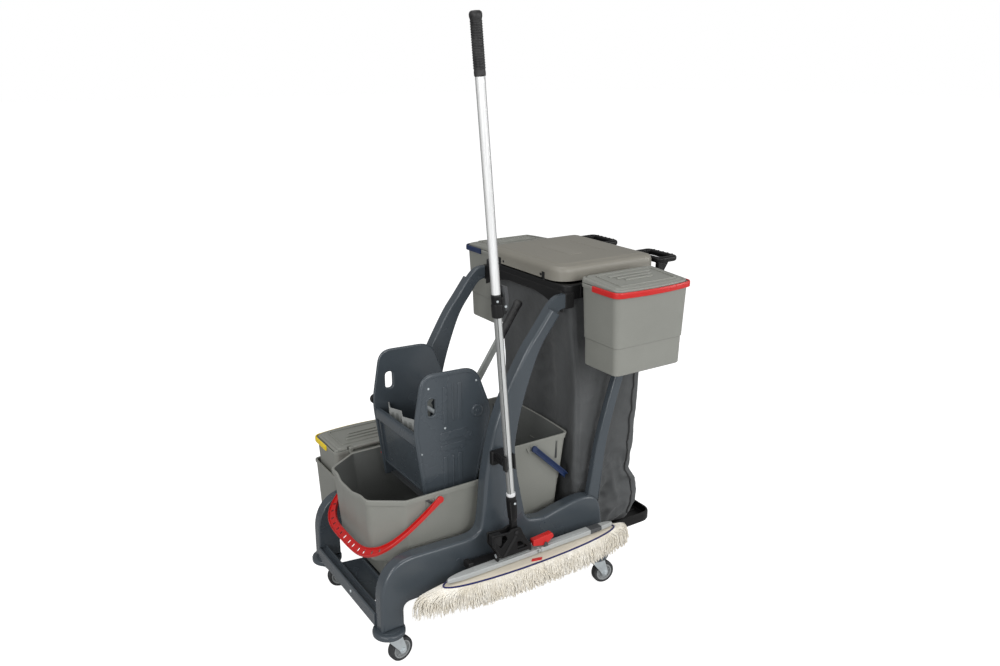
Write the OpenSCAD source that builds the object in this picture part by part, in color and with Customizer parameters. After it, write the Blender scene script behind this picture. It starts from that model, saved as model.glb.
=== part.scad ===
// Cleaning trolley with two mop buckets, a lever wringer, a waste bag with a
// hinged lid, three lidded small buckets and a flat mop in a handle clip.
// Lengths in millimetres. Front (wringer end) towards -X, mop side towards -Y.

/* [Frame] */
// Outer face of each side frame, from the centre line
frame_y = 248; // [246:1:250]
// Thickness of each side frame
frame_t = 42; // [40:1:44]
// Height of the collar under each leg
collar_h = 18; // [14:1:20]

/* [Casters] */
// Wheel diameter
wheel_d = 75; // [70:1:80]
// Trail of each wheel behind its swivel axis
trail = 36; // [32:1:40]
// Width of each wheel
wheel_w = 24; // [20:1:25]

/* [Mop buckets] */
// Wall thickness of the two mop buckets
bucket_t = 3; // [2.5:0.5:4]
// Rim height of the front bucket
front_rim_z = 476; // [470:1:478]
// Rim height of the rear bucket
rear_rim_z = 549; // [540:1:555]

/* [Small buckets] */
// Wall thickness of the small buckets
small_t = 2.5; // [2:0.5:3]
// Height of the small buckets
small_h = 250; // [230:1:255]

/* [Wringer] */
// Lean of the lever behind the vertical at rest
lever_lean = 34; // [30:1:36]
// Length of the lever from its shaft to the end of its grip
lever_len = 347; // [320:1:360]
// Radius of the lever shaft
shaft_r = 9; // [8:0.5:10]

/* [Mop] */
// Lean of the mop handle towards the front
mop_lean = 4.7; // [4:0.1:5.5]
// Outer radius of the lower handle tube
tube_r = 11; // [10.5:0.1:11]

/* [Hidden] */
$fn = 48;
// row origin in the working frame (x from the front caster axes)
OX = -505.5; OY = -9;
slate = [0.32, 0.35, 0.39]; grey = [0.52, 0.52, 0.49]; black = [0.06, 0.06, 0.07];
red = [0.8, 0.13, 0.12]; blue = [0.1, 0.2, 0.5]; yellow = [0.9, 0.78, 0.1];
zinc = [0.75, 0.77, 0.78]; alu = [0.8, 0.81, 0.82]; cream = [0.87, 0.83, 0.75];
fin = frame_y - frame_t;
wr = wheel_d / 2;
head_z = 105;
leg_z = head_z + collar_h;
CP = [[0, -227, 10], [0, 227, -6], [740, -227, -7], [740, 227, 5]];
// lever shaft, jaw shaft and gear pair of the wringer (x, z)
LS = [352, 674]; gear_m = 4; zp = 13; zs = 26;
cd = gear_m * (zp + zs) / 2; ga = 22;
JS = [LS[0] - cd * sin(ga), LS[1] - cd * cos(ga)];
// mop: yoke pivot, frame hinge height, fold hinge
MJ = [364, -314, 360]; mhz = 294; mfx = 447; mfz = 271;
// bail pivots (x, z) and slopes of the bails from the vertical
FB = [190, 456]; fb_tilt = 55; RB = [520, 528]; rb_tilt = 46;
lid_ax = [606, 1043];
// hinge pin of the small lids (y, z)
lid_y = -232; lid_z = 1047;

function unit(v) = v / norm(v);
function bz(a, b, c, n) = [for (i = [0:n]) let (t = i / n) (1-t)*(1-t)*a + 2*t*(1-t)*b + t*t*c];
// polygon with every corner rounded back by d
function rp(p, d, n = 5) = [for (i = [0:len(p)-1]) let (a = p[(i+len(p)-1) % len(p)], b = p[i], c = p[(i+1) % len(p)], k = is_list(d) ? d[i] : d) each bz(b + unit(a-b)*k, b, b + unit(c-b)*k, n)];
function box(x0, x1, y0, y1) = [[x0, y0], [x1, y0], [x1, y1], [x0, y1]];
function at(p, z) = [for (q = p) [q[0], q[1], z]];
function rev(p) = [for (i = [len(p)-1:-1:0]) p[i]];
function lerp(a, b, k) = a + (b - a) * k;
// smooth curve through points
function cr1(a, b, c, d, t) = 0.5*((2*b) + (c-a)*t + (2*a-5*b+4*c-d)*t*t + (3*b-a-3*c+d)*t*t*t);
function cr(p, n = 5) = [for (i = [0:len(p)-2], j = [0:n-1]) cr1(p[max(i-1,0)], p[i], p[i+1], p[min(i+2,len(p)-1)], j/n), p[len(p)-1]];
// closed solid skinned over rings of equal length, capped at both ends
module skin(rings) {
  n = len(rings[0]); m = len(rings);
  polyhedron(points = [for (r = rings) each r], faces = concat(
    [[for (i = [0:n-1]) i]], [[for (i = [n-1:-1:0]) (m-1)*n + i]],
    [for (k = [0:m-2], i = [0:n-1]) let (j = (i+1) % n) each [[k*n+i, (k+1)*n+j, k*n+j], [k*n+i, (k+1)*n+i, (k+1)*n+j]]]), convexity = 8);
}
module xz(y0, y1) { translate([0, y1, 0]) rotate([90, 0, 0]) linear_extrude(height = y1 - y0, convexity = 8) children(); }
module ycyl(x, z, r, y0, y1) { translate([x, y0, z]) rotate([-90, 0, 0]) cylinder(r = r, h = y1 - y0); }
module bx(x0, x1, y0, y1, z0, z1) { translate([x0, y0, z0]) cube([x1-x0, y1-y0, z1-z0]); }
module plate(p, z0, z1) { translate([0, 0, z0]) linear_extrude(height = z1 - z0, convexity = 8) polygon(p); }
module sidey(s) { if (s < 0) children(); else mirror([0, 1, 0]) children(); }
module place() { translate([OX, OY, 0]) children(); }

// ---------- chassis ----------
leg_top = cr([[-29, 225], [-27, 246], [-20, 272], [-6, 298], [16, 319], [42, 331], [75, 336]], 4);
arch_front = cr([[240, 331], [268, 332.5], [287, 342], [297, 362], [304, 412], [311, 488], [317, 530], [331, 600], [349, 668], [381, 745], [420, 815], [458, 876], [494, 922], [534, 974], [552, 993], [572, 1005], [600, 1008]], 4);
arch_rear = cr([[600, 967], [584, 964], [568, 953], [541, 919], [503, 866], [470, 790], [440, 700], [422, 620], [417, 570], [424, 500], [434, 445], [444, 395], [454, 352], [468, 333], [490, 326], [525, 322], [580, 333], [641, 343]], 4);
rear_top = cr([[641, 343], [675, 339], [702, 326], [724, 307], [737, 287], [745, 268], [751, 235], [756, 200]], 4);
frame_outline = concat([[-30, leg_z]], leg_top, arch_front, arch_rear, [for (i = [1:len(rear_top)-1]) rear_top[i]],
  [[758, leg_z], [704, leg_z]], bz([704, 176], [704, 196], [684, 196], 4), bz([62, 196], [41, 196], [41, 176], 4), [[41, leg_z]]);
module side_frame(s) {
  color(slate) sidey(s) difference() {
    xz(-frame_y, -fin) polygon(frame_outline);
    // thin wall beside the front bucket
    plate([[30, -200], [70, -240], [284, -240], [297, -200]], 230, 420);
    // outer half of the arch ends short of the bag ring
    xz(-frame_y - 2, -226) polygon([[535, 976], [573, 950], [640, 950], [640, 1030], [535, 1030]]);
    for (x = [0, 740]) translate([x, -227, 90]) cylinder(r = 7, h = 62);
  }
}
module side_frame_near() { side_frame(-1); }
module side_frame_far() { side_frame(1); }
module deck() {
  color(slate) {
    plate([[-4, -112], [70, -100], [132, -192], [735, -192], [735, 192], [132, 192], [70, 100], [-4, 112]], 146, 154);
    bx(58, 64, -80, 80, 154, 164);
    bx(362, 392, -150, 150, 154, 166);
    bx(634, 640, -150, 150, 154, 166);
  }
}
module cross_members() {
  color(slate) {
    plate(rp(box(-34, -4, -fin, fin), 0.01, 1), 126, 168);
    bx(735, 765, -fin, fin, 126, 154);
    bx(371, 383, -fin, fin, 380, 452);
  }
}
module rear_struts() {
  a = cr([[702, 326], [714, 385], [738, 520], [793, 707], [848, 850], [903, 985]], 4);
  b = cr([[940, 985], [885, 850], [829, 707], [776, 520], [754, 345], [745, 268]], 4);
  color(slate) for (s = [-1, 1]) sidey(s) xz(-234, -fin - 2) polygon(concat(a, b, [for (i = [19:-1:9]) rear_top[i]]));
}
module leg_collars() {
  color(slate) for (p = CP) translate([p[0], p[1], head_z]) difference() {
    cylinder(r = 47, h = collar_h);
    translate([0, 0, -1]) cylinder(r = 5.56, h = collar_h + 2);
  }
}
module bag_ring() {
  color(black) difference() {
    union() {
      difference() {
        plate(rp(box(600, 975, -222, 222), 34), 985, 1030);
        plate(rp(box(622, 955, -204, 204), 24), 980, 1035);
      }
      // curved skirt across the front
      translate([600, 0, 0]) rotate([90, 0, 90]) linear_extrude(height = 7)
        polygon(concat(cr([[-206, 948], [-170, 962], [-120, 978], [-60, 988], [0, 991], [60, 988], [120, 978], [170, 962], [206, 948]], 3), [[206, 1010], [-206, 1010]]));
      for (s = [-1, 1]) sidey(s) {
        bx(600.01, 634, -226, -206, 962, 1010);
        bx(600, 613, -124, -112, 1025, 1049);
      }
    }
    ycyl(lid_ax[0], lid_ax[1], 3.05, -140, 140);
  }
}
module lid_hinge_pins() {
  color(zinc) for (s = [-1, 1]) sidey(s) ycyl(lid_ax[0], lid_ax[1], 3, -134, -102);
}
module push_handles() {
  color(black) for (s = [-1, 1]) sidey(s) {
    difference() {
      plate(rp(box(972, 1058, -212, -73), 22), 1048, 1066);
      plate(rp(box(990, 1039, -194, -91), 10), 1030, 1080);
    }
    for (y = [-206, -94]) bx(975.01, 990, y, y + 14, 992, 1049);
  }
}
module bag_base() {
  color(black) difference() {
    plate(rp(box(765.01, 1028, -190, 190), [6, 45, 45, 6]), 132, 168);
    plate(rp(box(760, 1018, -181, 181), [2, 40, 40, 2]), 143, 170);
  }
}
bagz = [[156, 674, 938, 170], [190, 670, 946, 190], [225, 668, 950, 199], [270, 668, 956, 202], [325, 668, 941, 203], [362, 668, 917, 203], [460, 667, 926, 203], [700, 660, 941, 202], [984.5, 626, 951, 200]];
function bagring(k, e) = at(rp(box(bagz[k][1] + e, bagz[k][2] - e, -bagz[k][3] + e, bagz[k][3] - e), 30 - e, 4), bagz[k][0] + (k == 0 ? e : 0));
module bag() {
  color([0.33, 0.33, 0.33]) skin(concat([for (k = [0:8]) bagring(k, 0)], [for (k = [8:-1:0]) bagring(k, 5)]));
}
module bag_lid() {
  function ins(e) = rp(box(598 + e, 967 - e, -200 + e, 200 - e), [36 - e, 32 - e, 32 - e, 36 - e], 6);
  color(grey) difference() {
    union() {
      skin([for (r = [at(ins(26), 1083), at(ins(10), 1079), at(ins(0), 1067), at(ins(0), 1034), at(ins(4), 1034), at(ins(4), 1063), at(ins(14), 1074)]) rev(r)]);
      for (s = [-1, 1], y = [-132, -111.6]) sidey(s) bx(601.5, 611, y, y + 7.2, 1037, 1070);
    }
    for (s = [-1, 1]) sidey(s) {
      bx(590, 617, -124.4, -111.6, 1030, 1051.5);
      ycyl(lid_ax[0], lid_ax[1], 3.05, -133, -102);
    }
  }
}
module frame_screws() {
  color(zinc) {
    translate([-34, -43, 150]) rotate([0, -90, 0]) cylinder(r = 5, h = 3);
    for (x = [150, 700], y = [-150, 150]) translate([x, y, 143]) cylinder(r = 5, h = 3);
  }
}
// handle clips: one on each pillar, with parallel jaws open to the outside
module clip_u(r) {
  difference() {
    union() {
      translate([0, 0, -23]) cylinder(r = r + 6, h = 46);
      bx(-r - 6, r + 6, -11, 0, -23, 23);
      bx(-13, 13, 8, 50, -16, 16);
    }
    translate([0, 0, -30]) cylinder(r = r, h = 60);
    bx(-r, r, -30, 0, -30, 30);
  }
}
module mop_clips() {
  color(black) {
    translate(MJ) rotate([0, -mop_lean, 0]) translate([0, 0, 221]) clip_u(tube_r + 0.3);
    mirror([0, 1, 0]) translate([378, MJ[1], 580]) clip_u(tube_r + 0.3);
    for (s = [-1, 1]) sidey(s) translate([s < 0 ? 324 : 354, 0, 0]) bx(0, 48, -frame_y - 16, -frame_y, 552, 594);
  }
}

// ---------- casters ----------
module caster_at(i) { translate([CP[i][0], CP[i][1], 0]) rotate([0, 0, CP[i][2]]) children(); }
module caster_fork(i) {
  hw = wheel_w / 2 + 2.5;
  cheek = rp([[-18, 96], [30, 96], [trail + 12, wr + 2], [trail + 8, wr - 11], [trail - 8, wr - 11], [trail - 12, wr + 2]], [0.1, 0.1, 6, 5, 5, 6], 3);
  color(zinc) caster_at(i) {
    translate([0, 0, 96]) cylinder(r = 23, h = 8);
    translate([0, 0, 94]) cylinder(r = 5.5, h = 50);
    bx(-18, 30, -hw - 2.5, hw + 2.5, 88, 96.5);
    for (s = [-1, 1]) difference() {
      xz(s * (hw + 1.25) - 1.25, s * (hw + 1.25) + 1.25) polygon(cheek);
      ycyl(trail, wr, 5.03, -40, 40);
    }
    ycyl(trail, wr, 5, -hw - 4, hw + 4);
    for (s = [-1, 1]) sidey(s) ycyl(trail, wr, 8.5, -hw - 6, -hw - 2.6);
  }
}
module caster_wheel(i) {
  hw = wheel_w / 2;
  color([0.25, 0.25, 0.26]) caster_at(i) translate([trail, 0, wr]) rotate([90, 0, 0]) {
    // tyre
    rotate_extrude() polygon(rp([[28, -hw], [wr, -hw], [wr, hw], [28, hw]], [1, 6, 6, 1], 4));
    // hub with axle bore
    rotate_extrude() polygon([[5.06, -hw - 1.5], [11, -hw - 1.5], [11, -hw + 5], [23, -hw + 5], [24, -hw + 1], [28, -hw + 1], [28, hw - 1], [24, hw - 1], [23, hw - 5], [11, hw - 5], [11, hw + 1.5], [5.06, hw + 1.5]]);
  }
}
module caster_fork_front_near() { caster_fork(0); }
module caster_fork_front_far() { caster_fork(1); }
module caster_fork_rear_near() { caster_fork(2); }
module caster_fork_rear_far() { caster_fork(3); }
module caster_wheel_front_near() { caster_wheel(0); }
module caster_wheel_front_far() { caster_wheel(1); }
module caster_wheel_rear_near() { caster_wheel(2); }
module caster_wheel_rear_far() { caster_wheel(3); }

// ---------- mop buckets ----------
// outlines of the front bucket from the foot up: the front is undercut below a crease
fb_foot = [[74, 84], [74, -84], [150, -160], [340, -160], [340, 160], [150, 160]];
fb_low = [[60, 92], [60, -92], [136, -164], [342, -164], [342, 164], [136, 164]];
fb_cut = [[40, 100], [40, -100], [120, -168], [346, -168], [346, 168], [120, 168]];
fb_bot = [[10, 112], [10, -112], [100, -174], [349, -172], [349, 172], [100, 174]];
fb_top = [[-4, 122], [-4, -122], [88, -184], [364, -184], [364, 184], [88, 184]];
fb_dir = [[-1, 0.6], [-1, -0.6], [-0.5, -1], [1, -1], [1, 1], [-0.5, 1]];
function fbl(p, e, z) = at(rp([for (i = [0:5]) p[i] + e * fb_dir[i]], [26, 26, 30, 26, 26, 30], 4), z);
function fbr(k, e, z) = fbl([for (i = [0:5]) lerp(fb_bot[i], fb_top[i], k)], e, z);
module front_bucket() {
  z = front_rim_z;
  color(grey) difference() {
    union() {
      skin([fbl(fb_foot, 0, 156), fbl(fb_low, 0, 215), fbl(fb_cut, 0, 255), fbr(0, 0, 273), fbr(0.97, 0, z - 9), fbr(0.97, 3, z - 8), fbr(1, 3, z - 1), fbr(1, 1, z),
            fbr(1, -bucket_t, z), fbr(0, -bucket_t, 275.5), fbl(fb_cut, -bucket_t, 257.5), fbl(fb_low, -bucket_t, 216.5), fbl(fb_foot, -bucket_t, 156 + bucket_t)]);
      for (s = [-1, 1]) sidey(s) ycyl(FB[0], FB[1], 10, -190, -182);
    }
    for (s = [-1, 1]) sidey(s) ycyl(FB[0], FB[1], 5.05, -200, -170);
  }
}
rb_bot = [[424, 160], [424, -160], [612, -160], [612, 160]];
rb_top = [[410, 184], [410, -184], [652, -184], [652, 184]];
rb_dir = [[-1, 1], [-1, -1], [1, -1], [1, 1]];
function rbr(k, e, z) = at(rp([for (i = [0:3]) lerp(rb_bot[i], rb_top[i], k) + e * rb_dir[i]], 26, 5), z);
module rear_bucket() {
  z = rear_rim_z;
  color(grey) difference() {
    union() {
      skin([rbr(0, 0, 156), rbr(0.97, 0, z - 9), rbr(0.97, 3, z - 8), rbr(1, 3, z - 1), rbr(1, 1, z), rbr(1, -bucket_t, z), rbr(0, -bucket_t, 156 + bucket_t)]);
      for (s = [-1, 1]) sidey(s) ycyl(RB[0], RB[1], 11, -190, -182);
    }
    for (s = [-1, 1]) sidey(s) ycyl(RB[0], RB[1], 5.05, -200, -170);
  }
}
// bail: a strap bent to a rounded U, drawn hanging down and then tilted; t and tb are its widths at the arms and at the bottom
function ue(a, b, p, n) = [for (i = [0:n]) let (t = 180 * i / n) [sign(cos(t)) * a * pow(abs(cos(t)), 2 / p), -b * pow(abs(sin(t)), 2 / p)]];
module bail(depth, p, w, n, a, t, tb) {
  rotate([90, 0, 90]) translate([0, 0, -w / 2]) linear_extrude(height = w, convexity = 6)
    polygon(concat(ue(a, depth, p, n), rev(ue(a - t, depth - tb, p, n))));
  for (s = [-1, 1]) sidey(s) {
    ycyl(0, 0, 9, -a - 1, -a + 5.5);
    ycyl(0, 0, 5, -a + 5, -178);
  }
}
module front_bail() { color(red) translate([FB[0], 0, FB[1]]) rotate([0, fb_tilt, 0]) bail(274, 3.6, 9, 44, 204, 13, 26); }
module rear_bail() { color(blue) translate([RB[0], 0, RB[1]]) rotate([0, -rb_tilt, 0]) bail(194, 9, 16, 44, 197, 5.5, 5.5); }

// ---------- small buckets ----------
// near-side one drawn in place; the others are mirrored or moved
module small_at(k) {
  if (k == 0) children();
  if (k == 1) mirror([0, 1, 0]) children();
  if (k == 2) translate([-584, 0, -586]) mirror([0, 1, 0]) translate([0, -18, 0]) children();
}
function sbr(k, e, z) = at(rp(box(lerp(656, 644, k) - e, lerp(910, 918, k) + e, lerp(-394, -402, k) - e, lerp(-240, -238, k) + e), 20, 4), z);
module small_bucket(k) {
  zt = 1040; zb = zt - small_h; st = zb + 66;
  color(grey) small_at(k) difference() {
    union() {
      skin([sbr(0, -6, zb), sbr(0.03, -1, zb + 6), sbr(0.25, -3, st), sbr(0.26, 0, st + 3), sbr(0.96, 0, zt - 11), sbr(0.96, 3, zt - 10), sbr(1, 3, zt), sbr(1, -small_t, zt), sbr(0.26, -small_t, st + 4), sbr(0.25, -3 - small_t, st), sbr(0.03, -2 - small_t, zb + 8), sbr(0, -8, zb + small_t)]);
      bx(690, 872, -240, -213, 1031, 1036);
      for (x = [690, 860]) bx(x, x + 12, -237, -225, 1031, 1053);
    }
    translate([680, lid_y, lid_z]) rotate([0, 90, 0]) cylinder(r = 3.02, h = 210);
  }
  color(grey) small_at(k) translate([690.5, lid_y, lid_z]) rotate([0, 90, 0]) cylinder(r = 3, h = 181);
}
module small_lid(k) {
  color(grey) small_at(k) difference() {
    union() {
      plate(rp(box(646, 916, -400, -238), [22, 22, 10, 10]), 1040.4, 1046);
      plate(rp(box(662, 900, -386, -250), 10), 1045.5, 1050);
      bx(704, 858, -242, -231, 1041, 1049);
      translate([703, lid_y, lid_z]) rotate([0, 90, 0]) cylinder(r = 6.3, h = 156);
    }
    translate([680, lid_y, lid_z]) rotate([0, 90, 0]) cylinder(r = 3.06, h = 210);
    // room for the hinge posts
    for (x = [687, 859.2]) bx(x, x + 15.8, -246, -230, 1030, 1060);
  }
}
// colour strip clipped on the rim: the outer side and part of both ends
module small_clip(k) {
  c = k == 0 ? red : k == 1 ? blue : yellow;
  color(c) small_at(k) difference() {
    plate(rp(box(636, 926, -410, -300), [24, 24, 0.1, 0.1]), 1026, 1043);
    plate(rp(box(640.6, 921.4, -405.4, -290), [21, 21, 0.1, 0.1]), 1020, 1050);
  }
}
module small_bucket_red() { small_bucket(0); }
module small_bucket_blue() { small_bucket(1); }
module small_bucket_yellow() { small_bucket(2); }
module small_lid_red() { small_lid(0); }
module small_lid_blue() { small_lid(1); }
module small_lid_yellow() { small_lid(2); }
module clip_red() { small_clip(0); }
module clip_blue() { small_clip(1); }
module clip_yellow() { small_clip(2); }
// open box on the far wall that holds the third small bucket
module side_holder() {
  function hr(e, z, f) = at(rp(box(54 - f - e, 338 + f + e, 252 - e, 424 + f + e), 16, 4), z);
  color(grey) {
    skin([hr(0, 200, -6), hr(0, 366, 0), hr(3, 367, 0), hr(3, 373, 0), hr(-3, 373, 0), hr(-3, 203, -6)]);
    for (x = [110, 236]) {
      bx(x, x + 24, frame_y + 0.3, 254, 320, 341);
      bx(x, x + 24, 236, 254, 337, 341);
      bx(x, x + 24, 236, 239.6, 312, 341);
    }
  }
}

// ---------- wringer ----------
panel_pts = rp([[176, 402], [143, 655], [172, 815], [350, 810], [403, 668], [340, 402]], [3, 40, 40, 44, 26, 3], 7);
module wringer_panel(s) {
  color(slate) sidey(s) difference() {
    union() {
      xz(-137, -129) polygon(rev(panel_pts));
      for (x = [240, 286]) bx(x, x + 7, -139, -136.5, 660, 770);
      for (x = [236, 290]) bx(x, x + 7, -139, -136.5, 440, 552);
      for (z = [586, 622]) bx(226, 304, -139, -136.5, z, z + 7);
    }
    for (z = [701, 729]) ycyl(201, z, 13, -150, -120);
    bx(188, 214, -150, -120, 701, 729);
    ycyl(LS[0], LS[1], 13, -150, -120);
    ycyl(JS[0], JS[1], 11, -150, -120);
  }
}
module wringer_panel_near() { wringer_panel(-1); }
module wringer_panel_far() { wringer_panel(1); }
module wringer_front() {
  color(slate) xz(-129, 129) polygon([[178, 450], [183, 450], [168, 600], [168, 632], [150, 632], [150, 600], [162, 600]]);
}
module wringer_back() {
  color(slate) {
    xz(-129, 129) polygon([[333, 404], [338.5, 404], [384, 596], [378.5, 596]]);
    bx(350, 381, -110, 110, 476.5, 481);
  }
}
module wringer_sieve() {
  color([0.62, 0.63, 0.61]) difference() {
    union() {
      xz(-126, 126) polygon([[196, 405], [201, 405], [191, 656], [186, 656]]);
      for (i = [-5:5]) xz(i * 22 - 4, i * 22 + 4) polygon([[199, 415], [206, 415], [196, 650], [189, 650]]);
      bx(196, 332, -126, 126, 405, 411);
    }
    for (i = [-5:5], x = [214, 254, 294]) bx(x, x + 28, i * 22 - 4, i * 22 + 4, 400, 420);
  }
}
module wringer_bushes() {
  color([0.2, 0.21, 0.23]) for (s = [-1, 1]) sidey(s) {
    difference() { union() { ycyl(LS[0], LS[1], 12.97, -137, -127); ycyl(LS[0], LS[1], 20, -142, -137.01); } ycyl(LS[0], LS[1], shaft_r + 0.05, -139, -120); }
    difference() { union() { ycyl(JS[0], JS[1], 10.97, -137, -127); ycyl(JS[0], JS[1], 14, -141, -137.01); } ycyl(JS[0], JS[1], 7.05, -139, -120); }
  }
}
module wringer_screws() {
  color(zinc) for (s = [-1, 1]) sidey(s) for (p = [[193, 773], [350, 768], [244, 642], [166, 578]]) ycyl(p[0], p[1], 4, -139, -137.01);
}
module wringer_knob() {
  color(black) { ycyl(160, 655, 15, 142, 160); ycyl(160, 655, 7, 137, 142.5); }
}
// outline of straight-flanked teeth: n per turn, teeth a to b, half width h at the pitch circle
function gear_pts(n, a, b, h) = let (r = gear_m * n / 2) [for (i = [a:b], q = [[r - 4.6, -h - 1.5], [r, -h], [r + 3.3, 1.2 - h], [r + 3.3, h - 1.2], [r, h], [r - 4.6, h + 1.5]])
  let (t = 360 * i / n + asin(q[1] / q[0])) q[0] * [sin(t), cos(t)]];
module lever_shaft() {
  color(zinc) {
    ycyl(LS[0], LS[1], shaft_r, -138, 138);
    for (y = [-118, 118]) translate([LS[0], y, LS[1]]) rotate([0, 180 + ga + 180 / zp, 0])
      xz(-6, 6) polygon(gear_pts(zp, 0, zp - 1, 2.5));
  }
}
module lever_bar() {
  color([0.7, 0.71, 0.7]) translate([LS[0], -70, LS[1]]) rotate([0, lever_lean, 0]) difference() {
    union() {
      xz(-4, 4) polygon(rp([[-12, -14], [12, -14], [11, lever_len - 12], [-11, lever_len - 12]], [8, 8, 3, 3], 4));
      ycyl(0, 0, 17, -9, 9);
    }
    ycyl(0, 0, shaft_r, -20, 20);
  }
}
module lever_grip() {
  color(black) translate([LS[0], -70, LS[1]]) rotate([0, lever_lean, 0]) difference() {
    rotate_extrude() polygon([[0, lever_len - 124], [11.5, lever_len - 124], [13.5, lever_len - 120], [12.5, lever_len - 100], [13, lever_len - 60], [14, lever_len - 12], [11, lever_len - 2], [6, lever_len], [0, lever_len]]);
    bx(-11.5, 11.5, -4.2, 4.2, 0, lever_len - 11);
  }
}
module press_jaw() {
  color([0.62, 0.63, 0.61]) translate([JS[0], 0, JS[1]]) difference() {
    union() {
      for (y = [-118, 118]) translate([0, y, 0]) {
        ycyl(0, 0, 17, -5.9, 5.9);
        rotate([0, ga, 0]) xz(-5.5, 5.5) polygon(concat([[0, 0]], gear_pts(zs, -3, 1, 2.5)));
        xz(-5, 5) polygon([[-12, 0], [12, 0], [1, -70], [-2, -70]]);
      }
      bx(-4, 3, -124, 124, -182, -34);
      for (i = [-4:4]) bx(-9, -3, i * 24 - 4, i * 24 + 4, -178, -40);
    }
    ycyl(0, 0, 7.02, -130, 130);
  }
}
module jaw_shaft() { color(zinc) ycyl(JS[0], JS[1], 7, -138, 138); }
// torsion return spring round the lever shaft
module return_spring() {
  n = 84; turns = 7;
  function c(i) = let (a = 360 * turns * i / n) [LS[0] + 12 * sin(a), 20 + 28 * i / n, LS[1] + 12 * cos(a)];
  color(zinc) skin([for (i = [0:n]) let (a = 360 * turns * i / n) [for (k = [0:7]) let (b = -45 * k) c(i) + 1.25 * cos(b) * [sin(a), 0, cos(a)] + 1.25 * sin(b) * [0, 1, 0]]]);
}

// ---------- mop ----------
module mopt() { translate(MJ) rotate([0, -mop_lean, 0]) children(); }
module tube(ro, ri, z0, z1) { translate([0, 0, z0]) difference() { cylinder(r = ro, h = z1 - z0); translate([0, 0, -1]) cylinder(r = ri, h = z1 - z0 + 2); } }
module mop_grip() {
  color(black) mopt() difference() {
    rotate_extrude() polygon([[0, 1258], [13.6, 1258], [14, 1262], [15.5, 1280], [15, 1330], [15.5, 1380], [16, 1396], [13, 1405], [0, 1406.5]]);
    translate([0, 0, 1200]) cylinder(r = 12.52, h = 188);
  }
}
module mop_upper_tube() { color(alu) mopt() tube(12.5, tube_r + 0.35, 662, 1387); }
module mop_lower_tube() { color(alu) mopt() tube(tube_r, tube_r - 1, 44, 1010); }
module mop_collar() {
  color(black) mopt() {
    difference() {
      union() { translate([0, 0, 650]) cylinder(r = 16, h = 64); bx(0, 27, -12, 4, 664, 734); }
      translate([0, 0, 600]) cylinder(r = tube_r + 0.35, h = 170);
      translate([0, 0, 662]) cylinder(r = 12.52, h = 100);
    }
  }
}
module mop_socket() {
  color(black) mopt() difference() {
    union() {
      translate([0, 0, 30]) cylinder(r = 14.5, h = 84);
      bx(-9, 9, -7.8, 7.8, 0, 40);
      ycyl(0, 0, 9, -7.8, 7.8);
    }
    translate([0, 0, 44]) cylinder(r = tube_r + 0.02, h = 90);
    ycyl(0, 0, 4.06, -20, 20);
  }
}
module mop_yoke() {
  color(black) difference() {
    union() {
      difference() {
        translate([MJ[0], MJ[1], 0]) xz(-16, 16) polygon(rp([[-16, MJ[2] + 12], [-24, MJ[2] + 10], [-82, MJ[2] + 12], [-82, MJ[2] - 22], [-56, mhz - 4], [56, mhz - 4], [15, MJ[2] + 12]], [3, 3, 4, 6, 4, 4, 8], 4));
        translate(MJ) bx(-40, 40, -8.2, 8.2, -15, 60);
        translate([MJ[0], MJ[1], 0]) for (x = [-26, 8]) bx(x, x + 18, -30, 30, mhz + 12, mhz + 26);
      }
      ycyl(MJ[0], MJ[2], 4, MJ[1] - 16, MJ[1] + 16);
      translate([MJ[0] - 50, MJ[1], mhz]) rotate([0, 90, 0]) cylinder(r = 9, h = 100);
    }
    translate([MJ[0] - 90, MJ[1], mhz]) rotate([0, 90, 0]) cylinder(r = 4.06, h = 180);
    for (s = [-1, 1]) translate([MJ[0] + s * 60, MJ[1], 0]) bx(-9.8, 9.8, -20, 20, mhz - 12, mhz + 12);
  }
}
module mop_wing_left() {
  y = MJ[1];
  color([0.62, 0.63, 0.64]) difference() {
    union() {
      plate(rp([[143, y - 6], [196, y - 14], [439, y - 14], [439, y + 14], [196, y + 14], [143, y + 6]], [4, 20, 0.1, 0.1, 20, 4], 4), 264, 278);
      for (s = [-1, 1]) translate([0, y + s * 10, 0]) { ycyl(mfx, mfz, 7, -3.8, 3.8); bx(430, mfx, -3.8, 3.8, 264, 278); }
      for (x = [MJ[0] - 59, MJ[0] + 52]) bx(x, x + 7, y - 8, y + 8, 277, mhz + 8);
      translate([MJ[0] - 58, y, mhz]) rotate([0, 90, 0]) cylinder(r = 4, h = 116);
    }
    ycyl(mfx, mfz, 3.05, y - 30, y + 30);
  }
}
module mop_wing_right() {
  y = MJ[1];
  color([0.62, 0.63, 0.64]) {
    plate(rp([[455, y - 14], [684, y - 14], [734, y - 6], [734, y + 6], [684, y + 14], [455, y + 14]], [0.1, 20, 4, 4, 20, 0.1], 4), 264, 278);
    ycyl(mfx, mfz, 7, y - 5.8, y + 5.8);
    bx(mfx, 456, y - 5.8, y + 5.8, 264.5, 277.5);
    ycyl(mfx, mfz, 3, y - 13.8, y + 13.8);
    for (s = [-1, 1]) translate([0, y + s * 12, 0]) bx(466, 478, -2, 2, 277, 293);
    ycyl(472, 286, 2.5, y - 13, y + 13);
  }
}
module mop_pedal() {
  y = MJ[1];
  color(red) difference() {
    union() {
      xz(y - 9.6, y + 9.6) polygon(rp([[428, 287], [464, 280], [477, 280], [504, 299], [500, 313], [428, 308]], [3, 4, 4, 3, 4, 4], 3));
      ycyl(472, 286, 6, y - 9.6, y + 9.6);
    }
    ycyl(472, 286, 2.55, y - 20, y + 20);
  }
}
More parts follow.
